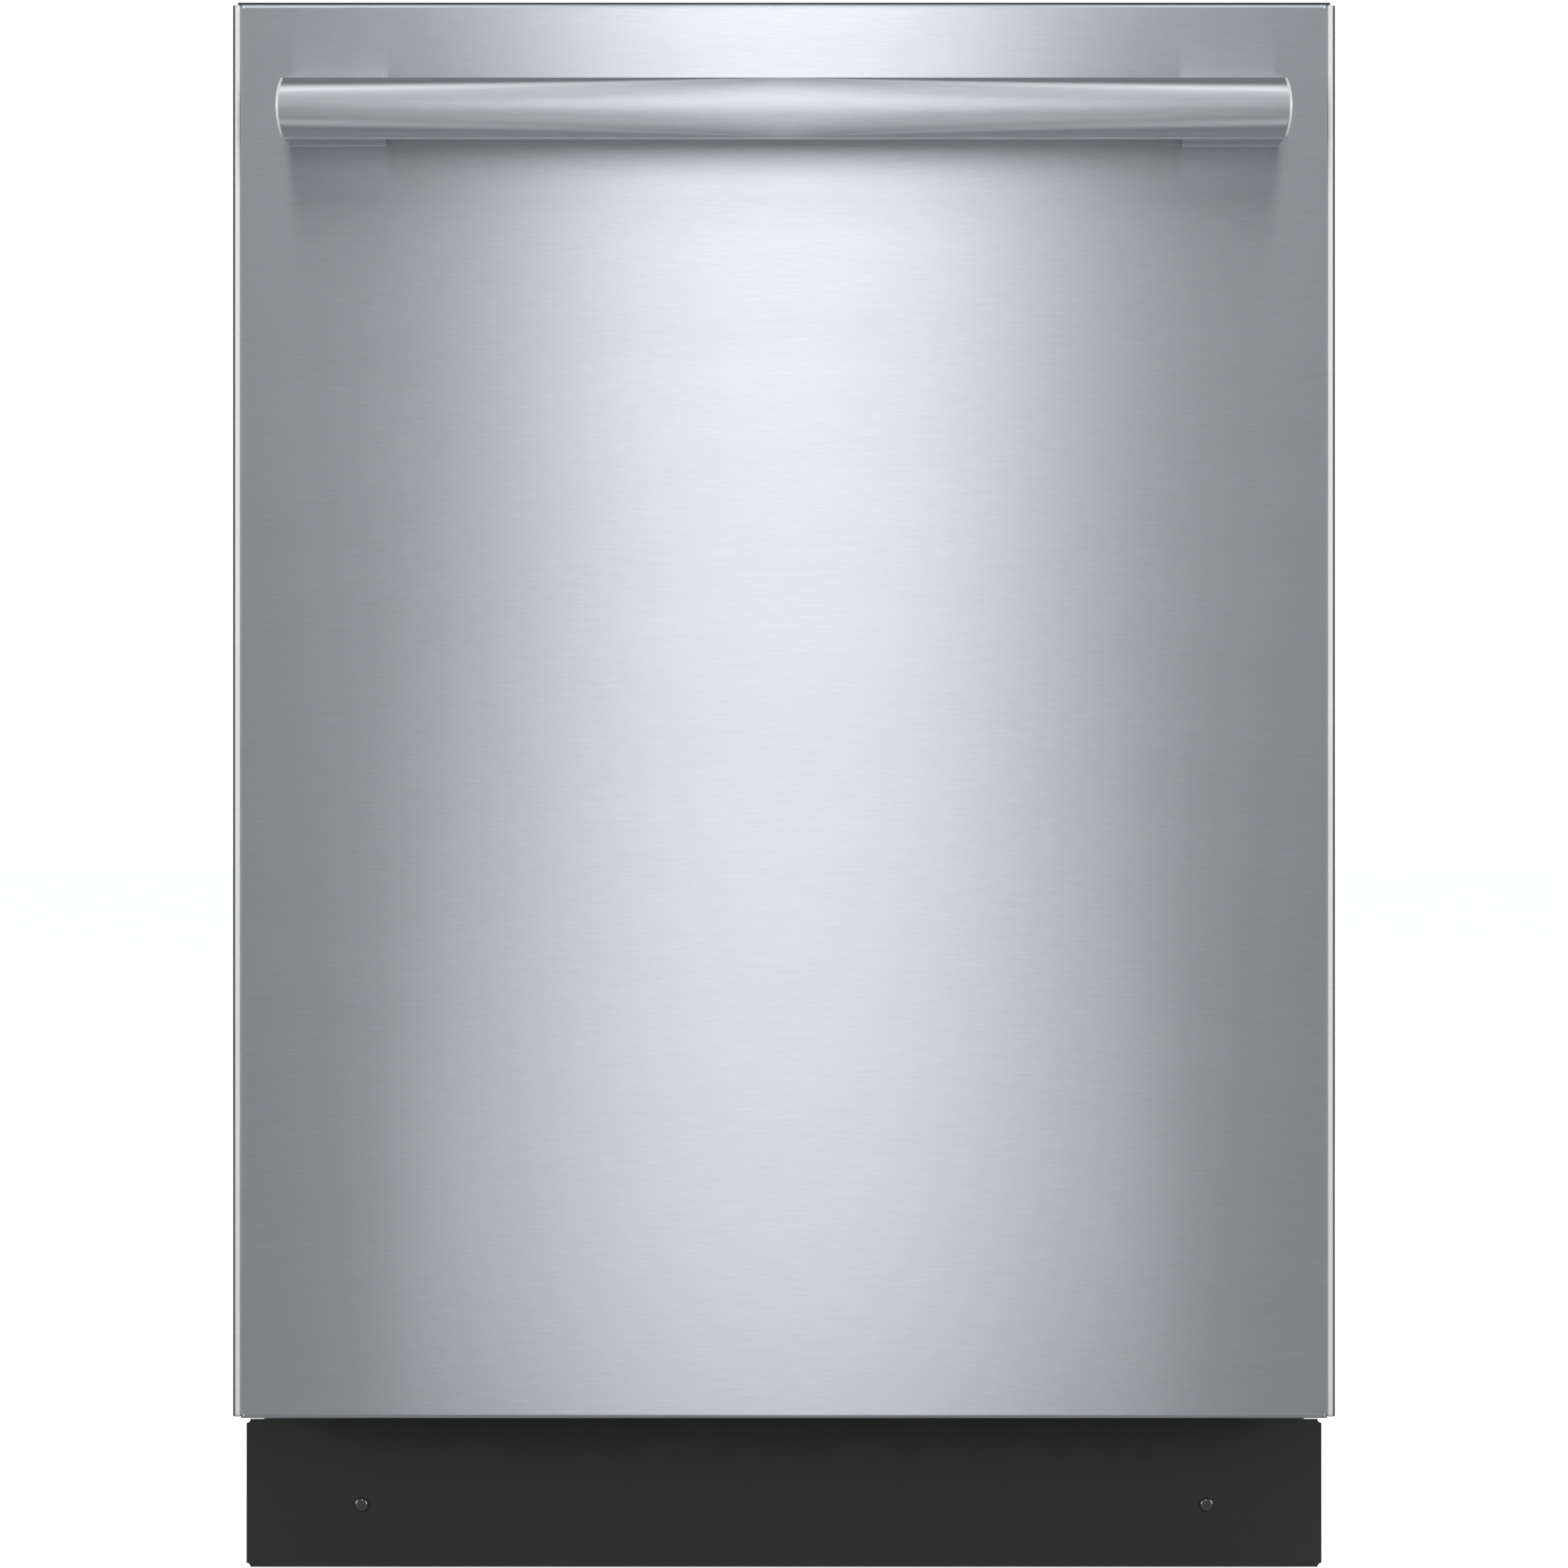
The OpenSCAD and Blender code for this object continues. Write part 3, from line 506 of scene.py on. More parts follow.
def screw_head(b, foot, axis, radius, height=0.0018):
    """A pan head with a hexagonal socket."""
    lathe(b, foot, axis, [(0, radius), (height * 0.5, radius), (height * 0.9, radius * 0.8),
                          (height, radius * 0.55)], 24)
    socket = [(height, radius * 0.5), (height * 1.05, radius * 0.45),
              (height * 0.6, radius * 0.4), (height * 0.55, radius * 0.05)]
    lathe(b, foot, axis, socket, 6)


def slotted(b, origin, along, across, pitch, margin):
    """A flat panel spanned by two vectors, pierced by a grid of slots."""
    origin, along, across = Vector(origin), Vector(along), Vector(across)
    lines = []
    for span, step, edge in ((along, pitch[0], margin[0]), (across, pitch[1], margin[1])):
        count = max(1, round(span.length / step))
        step = span.length / count
        cuts = [0.0]
        for i in range(count):
            cuts += [i * step + edge, (i + 1) * step - edge]
        lines.append([c / span.length for c in cuts + [span.length]])
    grid = [[b.verts.new(origin + along * u + across * v) for v in lines[1]] for u in lines[0]]
    for i in range(len(lines[0]) - 1):
        for j in range(len(lines[1]) - 1):
            if not (i % 2 and j % 2):
                b.faces.new((grid[i][j], grid[i + 1][j], grid[i + 1][j + 1], grid[i][j + 1]))


def thicken(piece, thickness):
    """Gives a sheet its thickness, half to each side."""
    solid = piece.modifiers.new("thickness", "SOLIDIFY")
    solid.thickness = thickness
    solid.offset = 0


# ---------- racks ----------

RACK_INSET = 0.014
BARS_ACROSS, BARS_DEEP = 12, 11
BAR_BEND_ACROSS, BAR_BEND_DEEP = 0.016, 0.018
RIM_WIRE = 0.0046
RIM_LIFT = 0.0006
RIM_BEND = 0.012
BAND_SHARE = 0.45
TINES = 10
TINE_SPAN = 0.4
TINE_WIRE = 0.003
FOLD_TINES = 12
FOLD_TINE_X, FOLD_TINE_STEP = -0.2035, 0.037
CLIP_X = 0.0185
UPPER_DEPTH = 0.148
GRIP_HALF = 0.055


def wire_basket(node, body, half, y0, y1, z0, z1, tine_ys, tine_height):
    """Bent-wire basket: U-shaped wires both ways, two rims and rows of tines."""
    inner = 1.4 * WIRE
    runs = []
    for i in range(BARS_ACROSS):
        x = -half + RACK_INSET + i * 2 * (half - RACK_INSET) / (BARS_ACROSS - 1)
        ends = [(x, y0 + inner, z1), (x, y0 + inner, z0), (x, y1 - inner, z0), (x, y1 - inner, z1)]
        runs.append((rounded(ends, BAR_BEND_ACROSS), WIRE, False))
    for i in range(BARS_DEEP):
        y = y0 + RACK_INSET + i * (y1 - y0 - 2 * RACK_INSET) / (BARS_DEEP - 1)
        side, low = half - inner, z0 + WIRE
        ends = [(-side, y, z1), (-side, y, low), (side, y, low), (side, y, z1)]
        runs.append((rounded(ends, BAR_BEND_DEEP), WIRE, False))
    rim = rect_path(half - inner, y0 + inner, y1 - inner, z1 + RIM_LIFT, RIM_BEND)
    runs.append((rim, RIM_WIRE, True))
    band = 0.3 * WIRE
    band_z = z0 + (z1 - z0) * BAND_SHARE
    runs.append((rect_path(half - band, y0 + band, y1 - band, band_z, RIM_BEND), WIRE, True))
    foot = z0 + 1.6 * WIRE
    for y in tine_ys:
        ends = (-half + 0.02, half - 0.02)
        runs.append(([Vector((x, y + TINE_WIRE, foot)) for x in ends], TINE_WIRE, False))
        for i in range(TINES):
            x = -TINE_SPAN / 2 + i * TINE_SPAN / (TINES - 1)
            runs.append(pin((x, y, foot), tine_height, TINE_WIRE))
    wires(node + "_wire", runs, "rack_coat", body, [node])


def grip(name, body, y, z):
    """A ribbed plastic grip over the middle of a rack's front rim."""
    count = 48
    path, sizes = [], []
    for i in range(count + 1):
        t = 2 * i / count - 1
        path.append(Vector((t * GRIP_HALF, y, z)))
        rib = 0.0007 if i % 4 < 2 and abs(t) < 0.8 else 0
        sizes.append(0.012 * math.sqrt(max(0.12, 1 - abs(t) ** 8)) + rib)
    wires(name, [(path, sizes, False)], "grey_plastic", body)


def build_racks():
    """Both wire racks with their grips, and the folding tine row with its clips."""
    low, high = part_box("lower_rack")
    edge = 0.2 * WIRE
    half, y0, y1 = high.x - edge, low.y + edge, high.y - edge
    z0, z1 = low.z + WIRE / 2, high.z - WIRE / 2 - RIM_LIFT
    wire_basket("lower_rack", "lower_rack", half, y0, y1, z0, z1, (0.150, 0.225), 0.079)
    grip("lower_rack_grip", "lower_rack", y0 + 1.4 * WIRE, z1)

    low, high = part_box("tine_row")
    y, z = middle("tine_row").y, low.z + 0.002
    runs = [([Vector((low.x, y, z)), Vector((high.x, y, z))], 0.004, False)]
    for i in range(FOLD_TINES):
        runs.append(pin((FOLD_TINE_X + i * FOLD_TINE_STEP, y, z), high.z - z, TINE_WIRE))
    wires("tine_row_wire", runs, "rack_coat", "tine_row", ["tine_row"])
    clips = []
    for x in (low.x + 0.006, CLIP_X, high.x - 0.006):
        path = [Vector((x + t * 0.004, y, z)) for t in (-1, -0.7, 0.7, 1)]
        clips.append((path, [0.006, 0.0085, 0.0085, 0.006], False))
    wires("tine_row_clips", clips, "grey_plastic", "tine_row")

    low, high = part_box("upper_rack")
    half, y0, y1 = high.x - edge, low.y + edge, high.y - edge
    z1 = high.z - WIRE / 2 - RIM_LIFT
    z0 = z1 - UPPER_DEPTH
    wire_basket("upper_rack", "upper_rack", half, y0, y1, z0, z1, (-0.070, 0.060), 0.061)
    grip("upper_rack_grip", "upper_rack", y0 + 1.4 * WIRE, z1)
    build_upper_feed(low.z, z0)


# Turned shapes, each a list of (distance along the axis, radius).
DUCT_HUB = [(0, 0.0060), (0.001, 0.0069), (0.0118, 0.0069), (0.0119, 0.0195),
            (0.0145, 0.0200), (0.0172, 0.0185), (0.022, 0.012), (0.0255, 0.011)]
ARM_JET = [(0, 0.0062), (0.0012, 0.0056), (0.0016, 0.0042), (0.0008, 0.0028), (0.0003, 0.0004)]
ROOF_ROSE = [(0, 0.021), (0.002, 0.024), (0.011, 0.024), (0.0145, 0.019), (0.0155, 0.0005)]
ROSE_JET = [(0, 0.0019), (0.0012, 0.0016), (0.0008, 0.0008), (0.0002, 0.0002)]
DOCKING_PORT = [(0, 0.013), (0.006, 0.0125), (0.0085, 0.011), (0.0130, 0.0105),
                (0.0135, 0.009), (0.008, 0.0085), (0.0075, 0.0003)]
ARM_POST = [(0, 0.0120), (0.0195, 0.0120), (0.021, 0.020), (0.0285, 0.0150),
            (0.030, 0.0124), (0.0305, 0.0069), (0.0405, 0.0068), (0.0415, 0.0060)]
MOTOR_FIN = [(0, 0.0335), (0.0002, 0.0360), (0.0022, 0.0360), (0.0024, 0.0335)]
MOTOR_CAP = [(0, 0.034), (0.001, 0.0365), (0.004, 0.0365), (0.0058, 0.034),
             (0.006, 0.012), (0.0055, 0.0005)]
MOTOR_BOLT = [(0, 0.0032), (0.008, 0.0032), (0.0085, 0.0025), (0.0087, 0.0005)]
DRAIN_COIL = [(0, 0.010), (0.002, 0.0125), (0.028, 0.0125), (0.030, 0.010)]
RIVET = [(0, 0.0034), (0.0005, 0.0033), (0.0011, 0.0024), (0.0014, 0.0008)]
LAMP = [(0, 0.0019), (0.0005, 0.0018), (0.0007, 0.0010), (0.00075, 0.0003)]

DUCT_DROP = 0.010
DUCT_RINGS = 24
DUCT_HALF, DUCT_WAIST = 0.0135, 0.0025
DOCK_REACH = 0.0119


def build_upper_feed(hub_z, floor_z):
    """Flat water duct under the upper rack, from the docking port to the arm's bearing."""
    arm_y = middle("upper_spray_arm").y
    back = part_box("upper_rack")[1].y + DOCK_REACH

    def shape(b):
        rings = []
        for i in range(DUCT_RINGS + 1):
            t = i / DUCT_RINGS
            wide = DUCT_HALF - DUCT_WAIST * math.cos(8 * math.pi * t) * (0.1 < t < 0.9)
            centre = Vector((0, arm_y + (back - arm_y) * t, floor_z - DUCT_DROP))
            rings.append(ring(centre, RIGHT, UP, wide, 0.004, 0.5))
        loft(b, rings)
        lathe(b, (0, arm_y, hub_z), UP, DUCT_HUB)
    mesh_piece("upper_feed_duct", shape, "grey_plastic", "upper_rack")


BASKET_HEIGHT = 0.106
BASKET_CELLS = 4
BASKET_MESH = (0.0105, 0.0105)


def build_silverware_basket():
    """Slotted walls, floor and dividers, a round rim and an arched handle."""
    low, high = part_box("silverware_basket")
    rim_z = low.z + BASKET_HEIGHT
    wall = 0.001
    x0, x1, y0, y1 = low.x + wall, high.x - wall, low.y + wall, high.y - wall
    size = Vector((x1 - x0, y1 - y0, BASKET_HEIGHT - 0.003))
    pitch, margin = (0.0105, 0.026), (0.0022, 0.003)

    def shape(b):
        for y in (y0, y1):
            slotted(b, (x0, y, low.z), (size.x, 0, 0), (0, 0, size.z), pitch, margin)
        for i in range(BASKET_CELLS + 1):
            x = x0 + size.x * i / BASKET_CELLS
            slotted(b, (x, y0, low.z), (0, size.y, 0), (0, 0, size.z), pitch, margin)
        slotted(b, (x0, y0, low.z + wall), (size.x, 0, 0), (0, size.y, 0), BASKET_MESH, (0.002, 0.002))
    walls = mesh_piece("silverware_basket_walls", shape, "grey_plastic", "silverware_basket",
                       ["silverware_basket"])
    thicken(walls, 0.0018)

    rim_wire = 0.0040
    rim = rounded([(x, y, rim_z - rim_wire / 2) for x, y in ((x0, y0), (x1, y0), (x1, y1), (x0, y1))],
                  0.004, True)
    foot, top = rim_z - 0.01, high.z - 0.004
    front, back = y0 + 0.014, y1 - 0.014
    arch = rounded([(0, front, foot), (0, front, top), (0, back, top), (0, back, foot)], 0.012)
    runs = [(rim, rim_wire, True), (arch, 0.0060, False)]
    wires("silverware_basket_rim", runs, "grey_plastic", "silverware_basket")


TRAY_WALL = 0.0022
DIVIDER_X = 0.0885
TRAY_INSET = 0.0015
COMBS_PER_BAY, COMB_TEETH = 4, 30
COMB_WIRE = 0.0022
COMB_LOW, COMB_HIGH = 0.003, 0.019
RUNNER_RISE = 0.022


def build_cutlery_tray():
    """Three slotted bays with rows of combs, and a grooved runner down each side."""
    low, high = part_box("cutlery_tray")
    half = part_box("upper_rack")[1].x - 0.2 * WIRE
    edge = half - TRAY_INSET
    bays = [(-edge, -DIVIDER_X), (-DIVIDER_X, DIVIDER_X), (DIVIDER_X, edge)]
    y0, y1, z0 = low.y + TRAY_INSET, high.y - TRAY_INSET, low.z + TRAY_INSET
    deep = (0, y1 - y0, 0)
    rise = (0, 0, high.z - low.z - 0.004)
    floor_pitch, floor_margin = (0.0195, 0.0118), (0.0022, 0.0022)
    wall_pitch, wall_margin = (0.024, 0.036), (0.003, 0.006)

    def shape(b):
        for x0, x1 in bays:
            slotted(b, (x0, y0, z0), (x1 - x0, 0, 0), deep, floor_pitch, floor_margin)
        for x in (-edge, -DIVIDER_X, DIVIDER_X, edge):
            slotted(b, (x, y0, z0), deep, rise, wall_pitch, wall_margin)
        for y in (y0, y1):
            slotted(b, (-edge, y, z0), (2 * edge, 0, 0), rise, wall_pitch, wall_margin)
    walls = mesh_piece("cutlery_tray_walls", shape, "grey_plastic", "cutlery_tray", ["cutlery_tray"])
    thicken(walls, TRAY_WALL)

    rim = rect_path(half - TRAY_WALL, y0 + 0.0008, y1 - 0.0008, high.z - TRAY_WALL, 0.006)
    runs = [(rim, 2 * TRAY_WALL, True)]
    for x0, x1 in bays:
        for k in range(COMBS_PER_BAY):
            x = x0 + (x1 - x0) * (k + 0.5) / COMBS_PER_BAY
            comb = []
            for i in range(2 * COMB_TEETH + 1):
                y = y0 + 0.006 + (y1 - y0 - 0.012) * i / (2 * COMB_TEETH)
                comb.append((x, y, z0 + (COMB_LOW if i % 2 else COMB_HIGH)))
            runs.append((rounded(comb, 0.002, steps=2), COMB_WIRE, False))
    wires("cutlery_tray_combs", runs, "grey_plastic", "cutlery_tray", facets=2)

    def runners(b):
        groove = high.x - 0.004
        lower_half = [(half + 0.0002, -0.0068), (high.x - 0.001, -0.0068), (high.x, -0.0058),
                      (high.x, -0.003), (groove, -0.0015)]
        outline = lower_half + [(x, -dz) for x, dz in reversed(lower_half)]
        z = low.z + RUNNER_RISE
        for side in (-1, 1):
            loft(b, [[Vector((side * x, y, z + dz)) for x, dz in outline] for y in (low.y, high.y)])
    mesh_piece("cutlery_tray_runners", runners, "grey_plastic", "cutlery_tray", smooth_angle=20)


# ---------- water ways ----------


BLADE_RISE = 0.0075
BLADE_HIGH = 0.0042
BLADE_SWAY = 0.0035
BLADE_TAPER = 0.22
TIP_SHARE = 0.06
BORE_RADIUS = 0.0071
AXIS_RADIUS = 0.0002
HUB_RIBS = 6


def spray_arm(node, hub_r, half_width, bore_from_below, nozzles):
    """Hollow moulded arm: a tapered S-shaped blade, a domed hub and raised jets."""
    low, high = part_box(node)
    length = high.x
    height = high.z - low.z
    y = middle(node).y
    blade = low.z + BLADE_RISE
    jet_step = (length - 0.08) / (nozzles - 1)
    jet_xs = [side * (0.06 + k * jet_step) for k in range(nozzles) for side in (-1, 1)]

    def bend(x):
        return BLADE_SWAY * math.sin(math.pi * x / length)

    def blade_ring(t):
        """The section at t of the way out, from -1 to 1."""
        past = max(0, abs(t) - 1 + TIP_SHARE) / TIP_SHARE
        tip = math.sqrt(max(0.004, 1 - past ** 2))
        centre = Vector((t * length, y + bend(t * length), blade))
        wide = half_width * (1 - BLADE_TAPER * t * t) * tip
        return ring(centre, BACK, UP, wide, BLADE_HIGH * (0.5 + 0.5 * tip), 0.72)

    def shape(b):
        loft(b, [blade_ring(max(-0.9999, min(0.9999, i / 30 - 1))) for i in range(61)])
        for x in jet_xs:
            lathe(b, (x, y + bend(x), blade + 0.0036), UP, ARM_JET, 20)
        outside = [(0, hub_r * 0.86), (0.003, hub_r), (height - 0.003, hub_r * 0.95),
                   (height - 0.0006, hub_r * 0.72), (height, hub_r * 0.68)]
        if bore_from_below:
            bore = [(0.0117, AXIS_RADIUS), (0.0117, BORE_RADIUS), (0, BORE_RADIUS)]
            profile = bore + outside + [(height, AXIS_RADIUS)]
        else:
            bore = [(height, BORE_RADIUS), (0.004, BORE_RADIUS), (0.004, AXIS_RADIUS)]
            profile = [(0, AXIS_RADIUS)] + outside + bore
        lathe(b, (0, y, low.z), UP, profile)
        for k in range(HUB_RIBS):
            angle = 2 * math.pi * (k + 0.5) / HUB_RIBS
            spoke = Vector((math.cos(angle), math.sin(angle), 0))
            start = Vector((0, y, high.z - 0.0012)) + spoke * hub_r * 0.70
            end = start + spoke * hub_r * 0.24 - UP * 0.0014
            loft(b, [ring(p, spoke.cross(UP), UP, 0.0009, 0.0009, 1, 8) for p in (start, end)])
    mesh_piece(node + "_moulding", shape, "grey_plastic", node, [node])


FEED_WIDE = 0.0148
FEED_DEEP = 0.0042
FEED_CLIP_ZS = (0.22, 0.34, 0.62, 0.74)
DOCKING_PORT_Z = 0.474
ROSE_JETS = 12
ROSE_JET_DROP = 0.015
PIPE_RISE = 0.014
BRANCH_X = 0.108


def build_spray_feed():
    """Flat duct up the tub's back wall to the roof rose, and the pipe from the pump."""
    low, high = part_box("spray_feed")
    arm_y = middle("lower_spray_arm").y
    tub_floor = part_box("sump")[1].z - 0.0015
    floor_z = tub_floor + FEED_DEEP + 0.0005
    wall_y = high.y - FEED_DEEP - 0.0004
    roof_z = high.z - FEED_DEEP - 0.0006
    corners = [(0, arm_y, floor_z), (0, wall_y, floor_z), (0, wall_y, roof_z), (0, arm_y, roof_z)]
    path = rounded(corners, 0.03)

    def shape(b):
        points = []
        for p, q in zip(path, path[1:]):
            steps = max(1, round((q - p).length / 0.03))
            points += [p.lerp(q, k / steps) for k in range(steps)]
        points.append(path[-1])
        rings = []
        for i, p in enumerate(points):
            run = (points[min(i + 1, len(points) - 1)] - points[max(i - 1, 0)]).normalized()
            rings.append(ring(p, RIGHT, RIGHT.cross(run), FEED_WIDE, FEED_DEEP, 0.45))
        loft(b, rings)
        for z in FEED_CLIP_ZS:
            ends = [Vector((0, wall_y, z + dz)) for dz in (-0.006, 0.006)]
            loft(b, [ring(end, RIGHT, BACK, 0.017, FEED_DEEP + 0.0004, 0.4) for end in ends])
        lathe(b, (0, arm_y, roof_z + FEED_DEEP), -UP, ROOF_ROSE)
        for k in range(ROSE_JETS):
            angle = 2 * math.pi * k / ROSE_JETS
            reach = 0.0165 if k % 2 else 0.010
            place = (reach * math.cos(angle), arm_y + reach * math.sin(angle), high.z - ROSE_JET_DROP)
            lathe(b, place, -UP, ROSE_JET, 12)
        lathe(b, (0, wall_y, DOCKING_PORT_Z), -BACK, DOCKING_PORT)
        lathe(b, (0, arm_y, tub_floor - 0.02), UP, ARM_POST)
    mesh_piece("spray_feed_duct", shape, "grey_plastic", "cabinet", ["spray_feed"])

    z = low.z + PIPE_RISE
    under = rounded([(high.x - 0.0005, arm_y, z), (0, arm_y, z), (0, arm_y, tub_floor)], 0.02)
    branch = [Vector((BRANCH_X, y, z)) for y in (low.y + 0.0004, arm_y)]
    runs = [(under, 0.0236, False), (branch, 0.0250, False)]
    wires("spray_feed_pipe", runs, "grey_plastic", "cabinet", facets=6)


DRAIN_Z = 0.060
DRAIN_PUMP_X, SPIGOT_X = -0.105, -0.115
HOSE_STEPS = 220
HOSE_RIDGE, HOSE_VALLEY = 0.0184, 0.0158


def build_drain_line():
    """Corrugated hose from the drain pump to the smooth spigot at the back."""
    low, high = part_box("drain_line")
    base_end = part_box("base_pan")[1].y
    start, end = low.y + 0.0003, base_end - 0.002
    path, sizes = [], []
    for i in range(HOSE_STEPS + 1):
        t = i / HOSE_STEPS
        swing = min(1, max(0, (t - 0.18) / 0.14))
        x = DRAIN_PUMP_X + (SPIGOT_X - DRAIN_PUMP_X) * swing * swing * (3 - 2 * swing)
        path.append(Vector((x, start + (end - start) * t, DRAIN_Z)))
        cuff = t < 0.02 or t > 0.98
        sizes.append(HOSE_RIDGE if cuff or i % 4 < 2 else HOSE_VALLEY)
    wires("drain_hose", [(path, sizes, False)], "rubber", "cabinet", ["drain_line"], facets=5)

    def spigot(b):
        length = high.y - base_end
        flange = [(0, 0.015), (0.0014, 0.015), (0.002, 0.0142), (0.0021, 0.0090)]
        barb = [(length - 0.011, 0.0090), (length - 0.009, 0.0084), (length - 0.005, 0.0090),
                (length - 0.001, 0.0082), (length, 0.0078)]
        bore = [(length, 0.0066), (0.002, 0.0064), (0.0015, 0.0005)]
        lathe(b, (SPIGOT_X, base_end, DRAIN_Z), BACK, flange + barb + bore)
    mesh_piece("drain_spigot", spigot, "pump_plastic", "cabinet")


MOTOR_LENGTH = 0.084
MOTOR_FINS, FIN_PITCH = 9, 0.0065
MOTOR_BOLTS, BOLT_REACH = 4, 0.0365
COIL_REACH = 0.0222


def build_pump_details():
    """Fins, an end cap and bolts on the wash motor, and the drain motor's two windings."""
    motor_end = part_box("wash_pump")[1].x
    y, z = middle("sump").y, middle("wash_impeller").z
    motor = motor_end - MOTOR_LENGTH

    def shape(b):
        for k in range(MOTOR_FINS):
            lathe(b, (motor + 0.010 + k * FIN_PITCH, y, z), RIGHT, MOTOR_FIN, 48)
        lathe(b, (motor_end - 0.006, y, z), RIGHT, MOTOR_CAP, 48)
        for k in range(MOTOR_BOLTS):
            angle = 2 * math.pi * (k + 0.5) / MOTOR_BOLTS
            centre = (motor - 0.001, y + BOLT_REACH * math.cos(angle), z + BOLT_REACH * math.sin(angle))
            lathe(b, centre, RIGHT, MOTOR_BOLT, 16)
    mesh_piece("wash_motor_fins", shape, "pump_plastic", "cabinet")

    coil_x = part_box("drain_pump")[0].x + 0.008

    def coil(b):
        for side in (-1, 1):
            lathe(b, (coil_x, y + side * COIL_REACH, z), RIGHT, DRAIN_COIL, 32)
    mesh_piece("drain_motor_coils", coil, "wire_copper", "cabinet")


# ---------- seals, springs and fasteners ----------


# How far in from the tub's edge, how thick, and how far behind the seal's middle.
SEAL_BULB = (0.0040, 0.0058, 0)
SEAL_LIPS = ((0.0009, 0.0018, 0.0018), (0.0072, 0.0018, -0.0012))


def build_gasket():
    """Bulb seal with two lips, round the sides and the top of the tub's mouth."""
    low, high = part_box("tub_gasket")
    foot = low.z + 0.001
    runs = []
    for inset, size, behind in (SEAL_BULB, *SEAL_LIPS):
        x, y, top = high.x - inset, middle("tub_gasket").y + behind, high.z - inset
        path = rounded([(-x, y, foot), (-x, y, top), (x, y, top), (x, y, foot)], 0.02)
        runs.append((path, size, False))
    wires("tub_gasket_bulb", runs, "rubber", "cabinet", ["tub_gasket"], facets=4)


COIL_RADIUS, COIL_WIRE = 0.0038, 0.0015
COIL_START, COIL_END = -0.132, 0.060
COIL_TURNS, TURN_STEPS = 64, 10
FRONT_ANCHOR_Y, BACK_ANCHOR_Y = -0.1455, 0.0715
ANCHOR_PLATE = [(0.2892, -0.004), (0.2892, 0.004), (0.2945, 0.004),
                (0.2955, 0.003), (0.2955, -0.003), (0.2945, -0.004)]


def build_springs():
    """Door balance springs: close coils between two anchor plates, with hooked ends."""
    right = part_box("door_springs")[1].x - 0.0046
    z = middle("door_springs").z
    for side, word in ((-1, "left"), (1, "right")):
        x = side * right
        path = [Vector((x, FRONT_ANCHOR_Y - 0.002, z + 0.003)), Vector((x, FRONT_ANCHOR_Y, z + 0.0005)),
                Vector((x, COIL_START - 0.006, z))]
        steps = COIL_TURNS * TURN_STEPS
        for i in range(steps + 1):
            angle = 2 * math.pi * i / TURN_STEPS
            y = COIL_START + (COIL_END - COIL_START) * i / steps
            path.append(Vector((x + COIL_RADIUS * math.cos(angle), y, z + COIL_RADIUS * math.sin(angle))))
        path += [Vector((x, COIL_END + 0.006, z)), Vector((x, BACK_ANCHOR_Y, z + 0.0005)),
                 Vector((x, BACK_ANCHOR_Y + 0.002, z + 0.003))]
        wires(f"door_spring_{word}", [(path, COIL_WIRE, False)], "spring_steel", "cabinet",
              ["door_springs"], facets=2)

        def anchors(b):
            for y in (FRONT_ANCHOR_Y, BACK_ANCHOR_Y):
                loft(b, [[Vector((side * px, y + dy, z + pz)) for px, pz in ANCHOR_PLATE]
                         for dy in (-0.001, 0.001)])
        mesh_piece(f"spring_anchors_{word}", anchors, "galvanised", "cabinet", smooth_angle=20)


LINER_RIM_DEPTH = 0.030
LINER_INSET = 0.011
LINER_SCREWS = 5
LINER_SCREW_X = 0.16
BIG_SCREW, SMALL_SCREW = 0.0036, 0.0034
CORNER_INSET = 0.008
RIVET_ZS = (0.16, 0.30, 0.48, 0.66, 0.82)
LAMPS, LAMP_GAP, LAMP_PITCH = 5, 0.014, 0.012


def build_fasteners():
    """Screws along the door liner's edges and in the dispenser, and rivets on the frame."""
    low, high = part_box("door_liner")
    face = low.y + LINER_RIM_DEPTH

    def liner_screws(b):
        for side in (-1, 1):
            for k in range(LINER_SCREWS):
                z = low.z + 0.03 + k * (high.z - low.z - 0.06) / (LINER_SCREWS - 1)
                screw_head(b, (side * (high.x - LINER_INSET), face, z), BACK, BIG_SCREW)
        for x in (-LINER_SCREW_X, LINER_SCREW_X):
            for z in (high.z - 0.012, low.z + 0.014):
                screw_head(b, (x, face, z), BACK, BIG_SCREW)
    mesh_piece("liner_screws", liner_screws, "rail_steel", "door")

    frame_low, frame_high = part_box("uprights")
    rivet_ys = (frame_low.y + 0.012, frame_low.y + 0.036, frame_high.y - 0.012, frame_high.y - 0.034)

    def rivets(b):
        for side in (-1, 1):
            for y in rivet_ys:
                for z in RIVET_ZS:
                    lathe(b, (side * frame_high.x, y, z), side * RIGHT, RIVET, 20)
    mesh_piece("frame_rivets", rivets, "rail_steel", "cabinet")

    def dispenser_screws(b):
        d_low, d_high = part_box("dispenser_body")
        y = high.y + 0.002
        for x in (d_low.x + CORNER_INSET, d_high.x - CORNER_INSET):
            for z in (d_low.z + CORNER_INSET, d_high.z - CORNER_INSET):
                screw_head(b, (x, y, z), BACK, SMALL_SCREW)
    mesh_piece("dispenser_screws", dispenser_screws, "rail_steel", "door")


def build_panel_details():
    """A row of small lamps beside the display."""
    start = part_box("display_window")[1].x + LAMP_GAP
    y, z = middle("display_window").y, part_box("control_panel")[1].z - 0.0004

    def lamps(b):
        for k in range(LAMPS):
            lathe(b, (start + k * LAMP_PITCH, y, z), UP, LAMP, 20)
    mesh_piece("indicator_lamps", lamps, "lamp_lens", "door")


# ---------- door edges, handle ends and toe kick screws ----------

